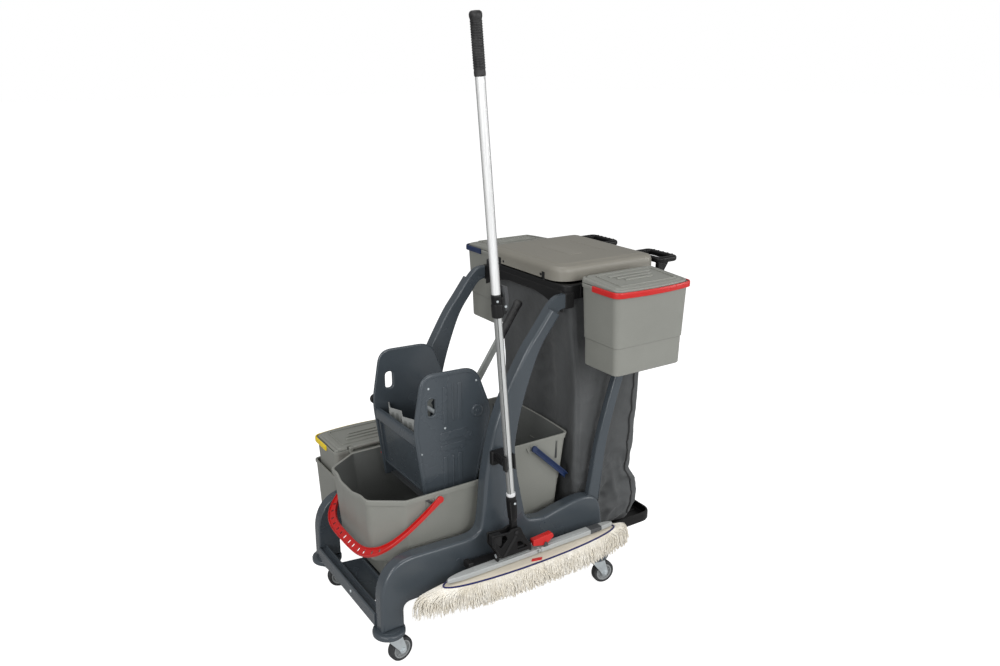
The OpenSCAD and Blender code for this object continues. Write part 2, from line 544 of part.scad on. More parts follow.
// pad with its yarn fringe as one closed solid
module mop_pad() {
  color(cream) plate([for (i = [0:71]) let (a = 5 * i, c = cos(a), s = sin(a)) [421 + 385 * sign(c) * pow(abs(c), 0.75), MJ[1] + (s < 0 ? 46 : 60) * sign(s) * pow(abs(s), 0.7)]], 165, 262);
}

place() side_frame_near();
place() side_frame_far();
place() deck();
place() cross_members();
place() rear_struts();
place() leg_collars();
place() bag_ring();
place() push_handles();
place() bag_base();
place() bag();
place() lid_hinge_pins();
place() mop_clips();
place() frame_screws();
place() side_holder();
place() small_bucket_red();
place() small_bucket_blue();
place() small_bucket_yellow();
place() clip_red();
place() clip_blue();
place() clip_yellow();
place() small_lid_red();
place() small_lid_blue();
place() small_lid_yellow();
place() bag_lid();
place() front_bucket();
place() front_bail();
place() rear_bucket();
place() rear_bail();
place() wringer_panel_near();
place() wringer_panel_far();
place() wringer_front();
place() wringer_back();
place() wringer_sieve();
place() wringer_bushes();
place() wringer_screws();
place() wringer_knob();
place() lever_shaft();
place() lever_bar();
place() lever_grip();
place() return_spring();
place() press_jaw();
place() jaw_shaft();
place() caster_fork_front_near();
place() caster_fork_front_far();
place() caster_fork_rear_near();
place() caster_fork_rear_far();
place() caster_wheel_front_near();
place() caster_wheel_front_far();
place() caster_wheel_rear_near();
place() caster_wheel_rear_far();
place() mop_grip();
place() mop_upper_tube();
place() mop_lower_tube();
place() mop_collar();
place() mop_socket();
place() mop_yoke();
place() mop_wing_left();
place() mop_wing_right();
place() mop_pedal();
place() mop_pad();
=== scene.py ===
"""Looks of the double mop bucket trolley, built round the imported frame."""

import math
import random

import bmesh
import bpy
import numpy as np
from mathutils import Matrix, Vector, geometry, noise


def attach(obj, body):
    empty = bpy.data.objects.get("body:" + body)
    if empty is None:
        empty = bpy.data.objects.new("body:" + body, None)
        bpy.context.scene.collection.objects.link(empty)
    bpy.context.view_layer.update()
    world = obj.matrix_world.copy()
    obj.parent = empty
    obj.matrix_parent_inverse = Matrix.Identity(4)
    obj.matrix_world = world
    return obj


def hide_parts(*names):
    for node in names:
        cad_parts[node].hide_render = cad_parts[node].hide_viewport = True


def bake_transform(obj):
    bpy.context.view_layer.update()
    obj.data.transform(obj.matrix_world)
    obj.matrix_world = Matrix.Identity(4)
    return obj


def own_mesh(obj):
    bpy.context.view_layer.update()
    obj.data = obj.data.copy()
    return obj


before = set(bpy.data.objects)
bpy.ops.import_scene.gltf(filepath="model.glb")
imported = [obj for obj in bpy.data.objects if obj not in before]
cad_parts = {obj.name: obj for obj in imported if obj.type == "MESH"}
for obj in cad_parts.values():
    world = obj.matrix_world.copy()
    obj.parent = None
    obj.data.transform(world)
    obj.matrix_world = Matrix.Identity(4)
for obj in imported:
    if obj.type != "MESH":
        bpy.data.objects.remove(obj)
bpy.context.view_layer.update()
OX, OY = -505.5, -9.0  # the working frame has x = 0 at the front caster axes, in mm


def V(p):
    return ((p[0] + OX) * 0.001, (p[1] + OY) * 0.001, p[2] * 0.001)


# ------------------------------------------------------------------ 2-D helpers
def bz(a, b, c, n):
    a, b, c = (np.array(q, float) for q in (a, b, c))
    return [tuple((1 - t) ** 2 * a + 2 * t * (1 - t) * b + t * t * c) for t in np.linspace(0, 1, n + 1)]


def rp(p, d, n=6):
    out = []
    for i in range(len(p)):
        a, b, c = (np.array(p[j % len(p)], float) for j in (i - 1, i, i + 1))
        k = d[i] if hasattr(d, "__len__") else d
        u, w = (a - b) / np.linalg.norm(a - b), (c - b) / np.linalg.norm(c - b)
        k1, k2 = min(k, 0.499 * np.linalg.norm(a - b)), min(k, 0.499 * np.linalg.norm(c - b))
        out += bz(b + u * k1, b, b + w * k2, n)
    return out


def cr(p, n=6):
    p = [np.array(q, float) for q in p]
    out = []
    for i in range(len(p) - 1):
        a, b, c, d = p[max(i - 1, 0)], p[i], p[i + 1], p[min(i + 2, len(p) - 1)]
        for j in range(n):
            t = j / n
            out.append(tuple(0.5 * (2 * b + (c - a) * t + (2 * a - 5 * b + 4 * c - d) * t * t + (3 * b - a - 3 * c + d) * t ** 3)))
    return out + [tuple(p[-1])]


def box2(x0, x1, y0, y1):
    return [(x0, y0), (x1, y0), (x1, y1), (x0, y1)]


def area2(p):
    q = np.array(p)
    return 0.5 * float(np.sum(q[:, 0] * np.roll(q[:, 1], -1) - np.roll(q[:, 0], -1) * q[:, 1]))


def tidy2(p):
    out = []
    for q in p:
        if not out or math.dist(q, out[-1]) > 0.05:
            out.append(tuple(q))
    if len(out) > 1 and math.dist(out[0], out[-1]) <= 0.05:
        out.pop()
    return out


def inset(p, e):
    """A counter-clockwise loop moved inwards by e (a clockwise one moved outwards)."""
    q = np.array(p, float)
    d = np.roll(q, -1, 0) - q
    d /= np.maximum(np.linalg.norm(d, axis=1, keepdims=True), 1e-9)
    nrm = np.stack([d[:, 1], -d[:, 0]], 1)
    prev = np.roll(nrm, 1, 0)
    m = nrm + prev
    m /= np.maximum(np.linalg.norm(m, axis=1, keepdims=True), 1e-6)
    s = 1 / np.maximum(np.sum(m * nrm, 1, keepdims=True), 0.4)
    return [tuple(v) for v in q - m * s * e]


def lerp(a, b, k):
    return a + (b - a) * k


def circle2(x, y, r, n=28):
    return [(x + r * math.cos(2 * math.pi * i / n), y + r * math.sin(2 * math.pi * i / n)) for i in range(n)]


def stadium(x0, x1, z0, z1, n=10):
    """A slot with round ends, upright or lying."""
    return rp(box2(x0, x1, z0, z1), min(x1 - x0, z1 - z0) * 0.4999, n)


def fill(p, i, n):
    """Extra points on the straight edge after point i."""
    a, b = np.array(p[i], float), np.array(p[(i + 1) % len(p)], float)
    return list(p[: i + 1]) + [tuple(lerp(a, b, k / (n + 1))) for k in range(1, n + 1)] + list(p[i + 1:])


# ------------------------------------------------------------------ mesh builder
class Mesh:
    def __init__(self):
        self.v, self.f, self.m = [], [], []

    def add(self, verts, faces, mat=0):
        base = len(self.v)
        self.v += [tuple(float(c) for c in q) for q in verts]
        self.f += [[base + i for i in f] for f in faces]
        self.m += [mat] * len(faces)
        return self

    def loft(self, rings, mat=0, cap0=True, cap1=True, wrap=True):
        n, verts, faces = len(rings[0]), [], []
        for r in rings:
            verts += list(r)
        for k in range(len(rings) - 1):
            for i in range(n if wrap else n - 1):
                j = (i + 1) % n
                faces.append([k * n + i, k * n + j, (k + 1) * n + j, (k + 1) * n + i])
        if cap0:
            faces.append(list(range(n - 1, -1, -1)))
        if cap1:
            faces.append([(len(rings) - 1) * n + i for i in range(n)])
        return self.add(verts, faces, mat)

    def slab(self, outline, lo, hi, axis="y", r=2.0, n=4, holes=(), mat=0, r2=None):
        """A plate between lo and hi along axis, with its edges rounded by r (r2 on the hi side)."""
        loops = [tidy2(q) for q in (outline, *holes)]
        loops = [q if (area2(q) > 0) == (i == 0) else q[::-1] for i, q in enumerate(loops)]
        r2 = r if r2 is None else r2
        prof = [(r * (1 - math.sin(a)), lo + r * (1 - math.cos(a))) for a in np.linspace(0, math.pi / 2, n + 1)]
        prof += [(r2 * (1 - math.sin(a)), hi - r2 * (1 - math.cos(a))) for a in np.linspace(math.pi / 2, 0, n + 1)]
        put = {"y": lambda u, v, w: (u, w, v), "z": lambda u, v, w: (u, v, w), "x": lambda u, v, w: (w, u, v)}[axis]
        verts, faces, start = [], [], []
        for q in loops:
            k, base = len(q), len(verts)
            start.append(base)
            for e, h in prof:
                verts += [put(u, v, h) for u, v in inset(q, e)]
            for a in range(len(prof) - 1):
                faces += [[base + a * k + i, base + a * k + (i + 1) % k, base + (a + 1) * k + (i + 1) % k, base + (a + 1) * k + i] for i in range(k)]
        for side, e in ((0, prof[0][0]), (len(prof) - 1, prof[-1][0])):
            if len(loops) == 1:
                face = [start[0] + side * len(loops[0]) + i for i in range(len(loops[0]))]
                faces.append(face[::-1] if side == 0 else face)
            else:
                index = [start[a] + side * len(q) + i for a, q in enumerate(loops) for i in range(len(q))]
                tri = geometry.tessellate_polygon([[Vector((u, v, 0)) for u, v in inset(q, e)] for q in loops])
                faces += [[index[i] for i in (t[::-1] if side == 0 else t)] for t in tri]
        return self.add(verts, faces, mat)

    def rbox(self, x0, x1, y0, y1, z0, z1, r=2.0, rc=None, mat=0, n=3):
        rc = r if rc is None else rc
        return self.slab(rp(box2(x0, x1, y0, y1), rc, 4), z0, z1, "z", r, n, mat=mat)

    def tube(self, path, r, n=14, mat=0, caps=True, squash=None):
        p = [np.array(q, float) for q in path]
        rr = r if hasattr(r, "__len__") else [r] * len(p)
        tang = [p[min(i + 1, len(p) - 1)] - p[max(i - 1, 0)] for i in range(len(p))]
        tang = [t / np.linalg.norm(t) for t in tang]
        up = np.array([0, 0, 1.0]) if abs(tang[0][2]) < 0.9 else np.array([1.0, 0, 0])
        u = np.cross(up, tang[0])
        u /= np.linalg.norm(u)
        rings = []
        for q, t, k in zip(p, tang, rr):
            u = u - t * np.dot(u, t)
            u /= np.linalg.norm(u)
            w = np.cross(t, u)
            rings.append([tuple(q + k * (math.cos(a) * u + math.sin(a) * w)) for a in np.linspace(0, 2 * math.pi, n, endpoint=False)])
        return self.loft(rings, mat, caps, caps)

    def sweep(self, path, frames, section, mat=0, caps=True):
        """section [(a, b)] swept along path, with frames giving (u, w) at each point."""
        rings = [[tuple(np.array(q) + a * np.array(u) + b * np.array(w)) for a, b in section] for q, (u, w) in zip(path, frames)]
        return self.loft(rings, mat, caps, caps)

    def revolve(self, prof, origin, axis, n=40, mat=0, closed=False):
        """Profile [(radius, height)] turned about an axis. closed joins the last point to the first."""
        o, t = np.array(origin, float), np.array(axis, float)
        t /= np.linalg.norm(t)
        u = np.cross(np.array([0, 0, 1.0]) if abs(t[2]) < 0.9 else np.array([1.0, 0, 0]), t)
        u /= np.linalg.norm(u)
        w = np.cross(t, u)
        dirs = [math.cos(a) * u + math.sin(a) * w for a in np.linspace(0, 2 * math.pi, n, endpoint=False)]
        verts, faces = [], []
        for rad, h in prof:
            verts += [tuple(o + t * h + d * max(rad, 0.0)) for d in dirs]
        m = len(prof)
        for k in range(m if closed else m - 1):
            k2 = (k + 1) % m
            faces += [[k * n + i, k * n + (i + 1) % n, k2 * n + (i + 1) % n, k2 * n + i] for i in range(n)]
        if not closed:
            if prof[0][0] > 1e-6:
                faces.append(list(range(n - 1, -1, -1)))
            if prof[-1][0] > 1e-6:
                faces.append([(m - 1) * n + i for i in range(n)])
        return self.add(verts, faces, mat)

    def mirror_y(self, shift=(0, 0, 0)):
        """This mesh mirrored in y and then moved."""
        o = Mesh()
        o.v = [(x + shift[0], -y + shift[1], z + shift[2]) for x, y, z in self.v]
        o.f = [f[::-1] for f in self.f]
        o.m = list(self.m)
        return o

    def moved(self, fn):
        o = Mesh()
        o.v = [tuple(fn(np.array(q))) for q in self.v]
        o.f, o.m = [list(f) for f in self.f], list(self.m)
        return o

    def join(self, other):
        base = len(self.v)
        self.v += other.v
        self.f += [[base + i for i in f] for f in other.f]
        self.m += other.m
        return self

    def done(self, name, mats, body=None, replaces=(), slot=None, angle=38, wn=True, keep=False):
        mats = mats if isinstance(mats, (list, tuple)) else [mats]
        me = bpy.data.meshes.new(name)
        me.from_pydata([V(q) for q in self.v], [], self.f)
        me.polygons.foreach_set("material_index", self.m)
        bm = bmesh.new()
        bm.from_mesh(me)
        bmesh.ops.remove_doubles(bm, verts=bm.verts, dist=2e-6)
        bmesh.ops.dissolve_degenerate(bm, edges=bm.edges, dist=1e-7)
        if not keep:
            bmesh.ops.recalc_face_normals(bm, faces=bm.faces)
        bm.to_mesh(me)
        bm.free()
        for m in mats:
            me.materials.append(m)
        me.polygons.foreach_set("use_smooth", [True] * len(me.polygons))
        me.set_sharp_from_angle(angle=math.radians(angle))
        o = bpy.data.objects.new(name, me)
        bpy.context.scene.collection.objects.link(o)
        if wn:
            w = o.modifiers.new("normals", "WEIGHTED_NORMAL")
            w.keep_sharp, w.weight = True, 60
        if body:
            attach(o, body)
        if replaces:
            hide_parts(*replaces)
        return o


# ------------------------------------------------------------------ materials
def lin(rgb):
    return tuple((c / 255 / 12.92 if c <= 10 else ((c / 255 + 0.055) / 1.055) ** 2.4) for c in rgb)


def clamp_col(c, k):
    return tuple(max(0.0, min(1.0, v * k)) for v in c) + (1.0,)


class Nodes:
    def __init__(self, name):
        self.mat = bpy.data.materials.new(name)
        self.mat.use_nodes = True
        self.t = self.mat.node_tree
        self.bsdf = self.t.nodes["Principled BSDF"]
        self.co = self.n("ShaderNodeTexCoord").outputs["Object"]

    def n(self, kind, **k):
        x = self.t.nodes.new(kind)
        for a, b in k.items():
            setattr(x, a, b)
        return x

    def link(self, a, b):
        self.t.links.new(a, b)

    def noise(self, scale, detail=3.0, rough=0.55, co=None, dist=0.0):
        x = self.n("ShaderNodeTexNoise")
        x.inputs["Scale"].default_value, x.inputs["Detail"].default_value = scale, detail
        x.inputs["Roughness"].default_value, x.inputs["Distortion"].default_value = rough, dist
        self.link(co or self.co, x.inputs["Vector"])
        return x.outputs["Fac"]

    def stretch(self, sx, sy, sz):
        x = self.n("ShaderNodeMapping")
        x.inputs["Scale"].default_value = (sx, sy, sz)
        self.link(self.co, x.inputs["Vector"])
        return x.outputs["Vector"]

    def ramp(self, fac, lo, hi, a=0.0, b=1.0):
        x = self.n("ShaderNodeMapRange")
        for i, v in zip(("From Min", "From Max", "To Min", "To Max"), (lo, hi, a, b)):
            x.inputs[i].default_value = v
        self.link(fac, x.inputs["Value"])
        return x.outputs["Result"]

    def mix(self, fac, a, b):
        x = self.n("ShaderNodeMix", data_type="RGBA")
        for i, v in ((6, a), (7, b)):
            if isinstance(v, tuple):
                x.inputs[i].default_value = v
            else:
                self.link(v, x.inputs[i])
        self.link(fac, x.inputs[0])
        return x.outputs[2]

    def math(self, op, a, b):
        x = self.n("ShaderNodeMath", operation=op)
        for i, v in enumerate((a, b)):
            if isinstance(v, (int, float)):
                x.inputs[i].default_value = v
            else:
                self.link(v, x.inputs[i])
        return x.outputs[0]

    def bump(self, height, strength, dist, normal=None):
        x = self.n("ShaderNodeBump")
        x.inputs["Strength"].default_value, x.inputs["Distance"].default_value = strength, dist
        self.link(height, x.inputs["Height"])
        if normal is not None:
            self.link(normal, x.inputs["Normal"])
        return x.outputs["Normal"]

    def out(self, color=None, rough=None, normal=None, **sockets):
        for s, v in (("Base Color", color), ("Roughness", rough), ("Normal", normal)):
            if v is None:
                continue
            if isinstance(v, (int, float, tuple)):
                self.bsdf.inputs[s].default_value = v
            else:
                self.link(v, self.bsdf.inputs[s])
        for s, v in sockets.items():
            self.bsdf.inputs[s.replace("_", " ")].default_value = v
        return self.mat


def plastic(name, rgb, rough=0.42, grain=700.0, bump=0.25, var=0.07, spec=0.5, wear=0.25, scuff=0.5):
    """Moulded plastic: flow marks in the colour, a fine spark-eroded grain, faint scuffs and paler edges."""
    m, c = Nodes(name), lin(rgb)
    cloud = m.noise(5.0, 4.0, 0.6)
    col = m.mix(m.ramp(cloud, 0.3, 0.7), clamp_col(c, 1 - var), clamp_col(c, 1 + var))
    speck = m.noise(420.0, 2.0, 0.5)
    col = m.mix(m.ramp(speck, 0.62, 0.75, 0.0, 0.10), col, clamp_col(c, 1.5))
    scratch = m.noise(60.0, 6.0, 0.75, m.stretch(1.0, 3.0, 0.5), 0.6)
    scr = m.ramp(scratch, 0.60, 0.72, 0.0, scuff * 0.35)
    col = m.mix(scr, col, clamp_col(tuple(0.6 * v + 0.10 for v in c), 1.0))
    edge = m.ramp(m.n("ShaderNodeNewGeometry").outputs["Pointiness"], 0.515, 0.58, 0.0, wear)
    col = m.mix(edge, col, clamp_col(tuple(0.75 * v + 0.07 for v in c), 1.25))
    rgh = m.math("ADD", m.ramp(cloud, 0.25, 0.75, rough - 0.04, rough + 0.05), m.math("MULTIPLY", scr, 0.35))
    fine = m.noise(grain, 2.0, 0.5)
    nrm = m.bump(fine, bump, 0.0002)
    nrm = m.bump(m.noise(18.0, 2.0, 0.5), 0.10, 0.0012, nrm)
    return m.out(col, rgh, nrm, Specular_IOR_Level=spec)


def metal(name, rgb, rough=0.28, streak=(1, 1, 60), var=0.10, scale=90.0, spots=0.0, metallic=1.0):
    """Drawn or plated metal with fine lines along one direction."""
    m, c = Nodes(name), lin(rgb)
    lines = m.noise(scale, 3.0, 0.7, m.stretch(*streak))
    cloud = m.noise(14.0, 4.0, 0.6)
    col = m.mix(m.ramp(lines, 0.3, 0.7), clamp_col(c, 1 - var), clamp_col(c, 1 + var * 0.6))
    col = m.mix(m.ramp(cloud, 0.5, 0.8, 0.0, 0.22 + spots), col, clamp_col(c, 0.72))
    rgh = m.math("ADD", m.ramp(lines, 0.3, 0.7, rough - 0.06, rough + 0.08), m.ramp(cloud, 0.4, 0.8, 0.0, 0.10))
    return m.out(col, rgh, m.bump(lines, 0.25, 0.00015), Metallic=metallic)


def round_metal(name, rgb, rough, dark):
    """Bright tube with painted darker reflections along its two edges, standing in for mirrored darker surroundings."""
    m, c = Nodes(name), lin(rgb)
    lines = m.noise(160.0, 3.0, 0.7, m.stretch(1, 1, 0.02))
    col = m.mix(m.ramp(lines, 0.3, 0.7), clamp_col(c, 0.96), clamp_col(c, 1.02))
    # painted reflection: the colour darkens towards the silhouette edges
    side = m.ramp(m.n("ShaderNodeLayerWeight").outputs["Facing"], 0.10, 0.58, 0.0, 0.92)
    col = m.mix(side, col, clamp_col(c, dark))
    return m.out(col, m.ramp(lines, 0.3, 0.7, rough - 0.05, rough + 0.06), m.bump(lines, 0.25, 0.00015), Metallic=0.10)


def cloth(name, rgb, scale=1500.0, rough=0.62, sheen=0.12, var=0.10):
    """Coated woven cloth: two crossed thread directions, soft creases and faded high spots."""
    m, c = Nodes(name), lin(rgb)
    sep = m.n("ShaderNodeSeparateXYZ")
    m.link(m.co, sep.inputs[0])
    run = m.math("ADD", sep.outputs[0], sep.outputs[1])
    w1 = m.math("SINE", m.math("MULTIPLY", run, scale), 0.0)
    w2 = m.math("SINE", m.math("MULTIPLY", sep.outputs[2], scale), 0.0)
    weave = m.math("MULTIPLY", w1, w2)
    crease = m.noise(16.0, 5.0, 0.62, m.stretch(1.0, 1.0, 0.45), 0.5)
    fade = m.noise(4.0, 3.0, 0.5)
    col = m.mix(m.ramp(fade, 0.3, 0.7), clamp_col(c, 1 - var), clamp_col(c, 1 + var))
    col = m.mix(m.ramp(weave, -1.0, 1.0, 0.0, 0.30), col, clamp_col(c, 0.72))
    col = m.mix(m.ramp(crease, 0.58, 0.74, 0.0, 0.35), col, clamp_col(tuple(v + 0.02 for v in c), 1.35))
    nrm = m.bump(weave, 0.25, 0.0002)
    nrm = m.bump(crease, 0.55, 0.004, nrm)
    return m.out(col, m.ramp(crease, 0.3, 0.7, rough - 0.06, rough + 0.08), nrm, Sheen_Weight=sheen, Specular_IOR_Level=0.35)


def yarn(name, rgb, var=0.10):
    """Cotton yarn: twisted strands, fuzz and slightly greyed patches."""
    m, c = Nodes(name), lin(rgb)
    patch = m.noise(22.0, 3.0, 0.6)
    fuzz = m.noise(900.0, 3.0, 0.7, m.stretch(1.0, 1.0, 0.35))
    col = m.mix(m.ramp(patch, 0.3, 0.75), clamp_col(c, 1 + 0.4 * var), clamp_col(tuple(v * k for v, k in zip(c, (0.90, 0.86, 0.78))), 1 - var))
    col = m.mix(m.ramp(fuzz, 0.35, 0.7, 0.0, 0.22), col, clamp_col(c, 0.74))
    return m.out(col, 0.92, m.bump(fuzz, 0.7, 0.0012), Sheen_Weight=0.25, Specular_IOR_Level=0.2)


def rubber(name, rgb, rough=0.6):
    m, c = Nodes(name), lin(rgb)
    dust = m.noise(45.0, 5.0, 0.65)
    col = m.mix(m.ramp(dust, 0.45, 0.75, 0.0, 0.45), clamp_col(c, 1.0), clamp_col(tuple(v * 0.7 + 0.07 for v in c), 1.1))
    return m.out(col, m.ramp(dust, 0.3, 0.7, rough - 0.08, rough + 0.15), m.bump(m.noise(500.0, 2.0), 0.35, 0.0003))


SLATE = plastic("slate_plastic", (66, 73, 79), 0.25, 650, 0.10, 0.04, spec=0.55, wear=0.0, scuff=0.0)
GREY = plastic("warm_grey_plastic", (131, 132, 126), 0.44, 700, 0.22, 0.05)
LIDGREY = plastic("warm_grey_lid_plastic", (126, 123, 114), 0.42, 700, 0.22, 0.05)
LGREY = plastic("light_grey_plastic", (128, 131, 128), 0.42, 700, 0.2, 0.05)
PALE = plastic("pale_grey_plastic", (160, 162, 160), 0.42, 700, 0.2, 0.05)
BLACK = plastic("black_plastic", (13, 13, 14), 0.40, 600, 0.25, 0.10, spec=0.25, wear=0.2, scuff=0.2)
RED = plastic("red_plastic", (192, 26, 24), 0.36, 600, 0.2, 0.06, wear=0.15)
BLUE = plastic("blue_plastic", (6, 34, 76), 0.36, 600, 0.2, 0.07, wear=0.15)
YELLOW = plastic("yellow_plastic", (240, 208, 8), 0.38, 600, 0.2, 0.05, wear=0.1)
DARK = plastic("dark_grey_plastic", (58, 60, 62), 0.45, 600, 0.25, 0.08)
WHITE = plastic("white_plastic", (215, 216, 218), 0.35, 600, 0.15, 0.03, wear=0.05)
ZINC = metal("zinc_steel", (198, 205, 208), 0.32, (1, 1, 1), 0.08, 60.0, 0.05, metallic=0.45)
ALU = metal("aluminium_tube", (158, 160, 159), 0.28, (1, 1, 0.02), 0.08, 160.0, metallic=0.6)
# lighter strip down one side of the lower tube: a painted highlight
HIGHLIGHT_BAND_PAINTED = metal("painted_highlight_band", (204, 206, 205), 0.30, (1, 1, 0.02), 0.05, 160.0, metallic=0.35)
ALUP = metal("grey_lacquered_metal", (176, 179, 178), 0.40, (0.04, 1, 1), 0.05, 120.0, metallic=0.25)
SILVER = round_metal("bright_anodised_tube", (230, 231, 231), 0.26, 0.40)
# darker grey that paints shade: bucket insides, the band under the front bucket's rim and its side crease
GREY_PAINTED_SHADE = plastic("warm_grey_plastic_painted_shade", (96, 98, 96), 0.50, 700, 0.22, 0.05, wear=0.0, scuff=0.3)
# dark line along the lower tube: painted shade of a groove
GROOVE_SHADE_PAINTED = metal("tube_groove_painted_shade", (70, 72, 74), 0.45, (1, 1, 0.02), 0.08, 160.0, metallic=0.6)
BAGCLOTH = cloth("bag_cloth", (76, 78, 79))
PADCLOTH = cloth("pad_cloth", (196, 188, 172), 1300.0, 0.85, 0.25, 0.06)
PIPING = cloth("blue_piping", (14, 15, 82), 2200.0, 0.75, 0.3, 0.05)
YARN = yarn("cotton_yarn", (240, 236, 227), 0.06)
ZIP = plastic("zip_tape", (18, 18, 20), 0.6, 900, 0.4, 0.1)
TYRE = rubber("tyre_rubber", (46, 47, 49))
WHEEL = plastic("wheel_grey_plastic", (136, 139, 140), 0.45, 600, 0.2, 0.05)
GRIP = rubber("grip_rubber", (20, 20, 21), 0.5)

# ------------------------------------------------------------------ camera
cam = bpy.data.objects.new("camera", bpy.data.cameras.new("camera"))
bpy.context.scene.collection.objects.link(cam)
cam.location = V((-872.2, -2142.7, 1648.0))
cam.rotation_euler = (math.radians(90 - 17.44), 0, math.radians(-33.05))
cam.data.lens, cam.data.sensor_width = 31.14, 36.0
cam.data.clip_end = 50
bpy.context.scene.camera = cam

# ------------------------------------------------------------------ chassis
leg_top = cr([(-29, 225), (-27, 246), (-20, 272), (-6, 298), (16, 319), (42, 331), (75, 336)], 6)
arch_front = cr([(240, 331), (268, 332.5), (287, 342), (297, 362), (304, 412), (311, 488), (317, 530), (331, 600), (349, 668), (381, 745), (420, 815), (458, 876), (494, 922), (534, 974), (552, 993), (572, 1005), (600, 1008)], 5)
arch_rear = cr([(600, 967), (584, 964), (568, 953), (541, 919), (503, 866), (470, 790), (440, 700), (422, 620), (417, 570), (424, 500), (434, 445), (444, 395), (454, 352), (468, 333), (490, 326), (525, 322), (580, 333), (641, 343)], 5)
rear_top = cr([(641, 343), (680, 343), (708, 337), (728, 324), (740, 304), (747, 278), (752, 238), (756, 200)], 5)
frame_outline = tidy2([(-30, 123), (-29.6, 170)] + leg_top + arch_front + arch_rear + rear_top[1:]
                      + [(758, 123), (704, 123)] + bz((704, 172), (704, 196), (680, 196), 6) + bz((65, 196), (41, 196), (41, 172), 6) + [(41, 123)])


def cut_with(o, cutter, angle=38):
    """Cuts one mesh out of another and applies the result, so no modifier is left."""
    b = o.modifiers.new("cut", "BOOLEAN")
    b.object, b.operation, b.solver = cutter, "DIFFERENCE", "EXACT"
    dg = bpy.context.evaluated_depsgraph_get()
    me = bpy.data.meshes.new_from_object(o.evaluated_get(dg))
    o.modifiers.remove(b)
    before, got = len(o.data.vertices), len(me.vertices)
    bpy.data.objects.remove(cutter)
    if got < 0.9 * before:
        print("cut not used on", o.name, before, got)
        bpy.data.meshes.remove(me)
        return o
    old = o.data
    o.data = me
    bpy.data.meshes.remove(old)
    me.polygons.foreach_set("use_smooth", [True] * len(me.polygons))
    me.set_sharp_from_angle(angle=math.radians(angle))
    return o


def carve(body_mesh, cutter, name, mats, body, replaces):
    """A piece with pockets cut into it."""
    o = body_mesh.done(name, mats, wn=False)
    cut_with(o, cutter.done(name + "_cut", mats, wn=False))
    w = o.modifiers.new("normals", "WEIGHTED_NORMAL")
    w.keep_sharp, w.weight = True, 60
    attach(o, body)
    if replaces:
        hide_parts(*replaces)
    return o


def side_frame():
    return Mesh().slab(frame_outline, -248, -206, "y", 10.0, 6, r2=5.0)


def frame_cut():
    """Pocket behind the thin wall beside the front bucket, and the end of the arch's outer half."""
    m = Mesh()
    m.slab(rp([(30, -190), (66, -241), (286, -241), (299, -190)], [2, 16, 12, 2], 6), 230, 470, "z", 7.0, 4)
    m.slab(rp([(535.5, 976), (573.5, 949.5), (660, 949.5), (660, 1040), (535.5, 1040)], 0.5, 2), -262, -226, "y", 0.4, 2)
    return m


carve(side_frame(), frame_cut(), "side_frame_near_shell", SLATE, "chassis", ["side_frame_near"])
carve(side_frame().mirror_y(), frame_cut().mirror_y(), "side_frame_far_shell", SLATE, "chassis", ["side_frame_far"])

m = Mesh()
m.slab(rp([(-6, -122), (74, -112), (132, -192), (737, -192), (737, 192), (132, 192), (70, 100), (-6, 112)], 4), 146, 154, "z", 2.0, 3)
for x0, x1, hw in ((58, 64, 80), (362, 368, 150), (386, 392, 150), (634, 640, 150)):
    m.rbox(x0, x1, -hw, hw, 153, 166, 2.2)
for y in (-140, -70, 0, 70, 140):
    m.rbox(80 if abs(y) < 90 else 150, 356, y - 2, y + 2, 153.5, 155.8, 0.8)
    m.rbox(398, 628, y - 2, y + 2, 153.5, 155.8, 0.8)
    m.rbox(0 if abs(y) < 90 else 112, 730, y - 3, y + 3, 132, 147, 1.0)
m.done("deck_plate", SLATE, "chassis", ["deck"], "slate_plastic")

m = Mesh()
# front bar: a channel with a raised lip along both edges
m.slab(rp([(-34, 128), (-32, 126), (-6, 126), (-4, 128), (-4, 168), (-8.5, 168), (-9.5, 160), (-25, 160), (-27, 168), (-31, 169.5), (-34, 166)], [2, 2, 2, 2, 1.6, 1.6, 1.6, 1.6, 2, 1.6, 2.4], 3), -207, 207, "y", 1.0, 2)
m.slab(rp(box2(735, 765, 126, 154), 5), -207, 207, "y", 1.0, 2)
m.slab(rp(box2(371, 383, 380, 452), 4), -207, 207, "y", 1.0, 2)
for z in (398, 434):
    m.slab(rp(box2(368.4, 371.4, z - 5, z + 5), 1.2), -196, 196, "y", 0.6, 2)
m.done("cross_bars", SLATE, "chassis", ["cross_members"], "slate_plastic")

strut_a = cr([(702, 324), (714, 385), (738, 520), (793, 707), (848, 850), (903, 985)], 6)
strut_b = cr([(940, 985), (885, 850), (829, 707), (776, 520), (754, 345), (744, 266)], 6)
strut = tidy2(strut_a + strut_b + [(736, 286), (723, 305)])
m = Mesh()
m.slab(strut, -234, -208, "y", 7.0, 5)
m.join(m.mirror_y()).done("rear_strut_pair", SLATE, "chassis", ["rear_struts"], "slate_plastic")

CP = {"front_near": (0, -227, 10), "front_far": (0, 227, -6), "rear_near": (740, -227, -7), "rear_far": (740, 227, 5)}
m = Mesh()
for x, y, a in CP.values():
    m.revolve([(0, 105), (41, 105), (45, 105.8), (46.6, 107.6), (47, 110), (47, 116.5), (46.2, 119.4), (43.6, 121.4), (39, 122), (34, 122), (33.6, 124), (0, 124)], (x, y, 0), (0, 0, 1), 56)
m.done("leg_collar_set", SLATE, "chassis", ["leg_collars"], "slate_plastic")

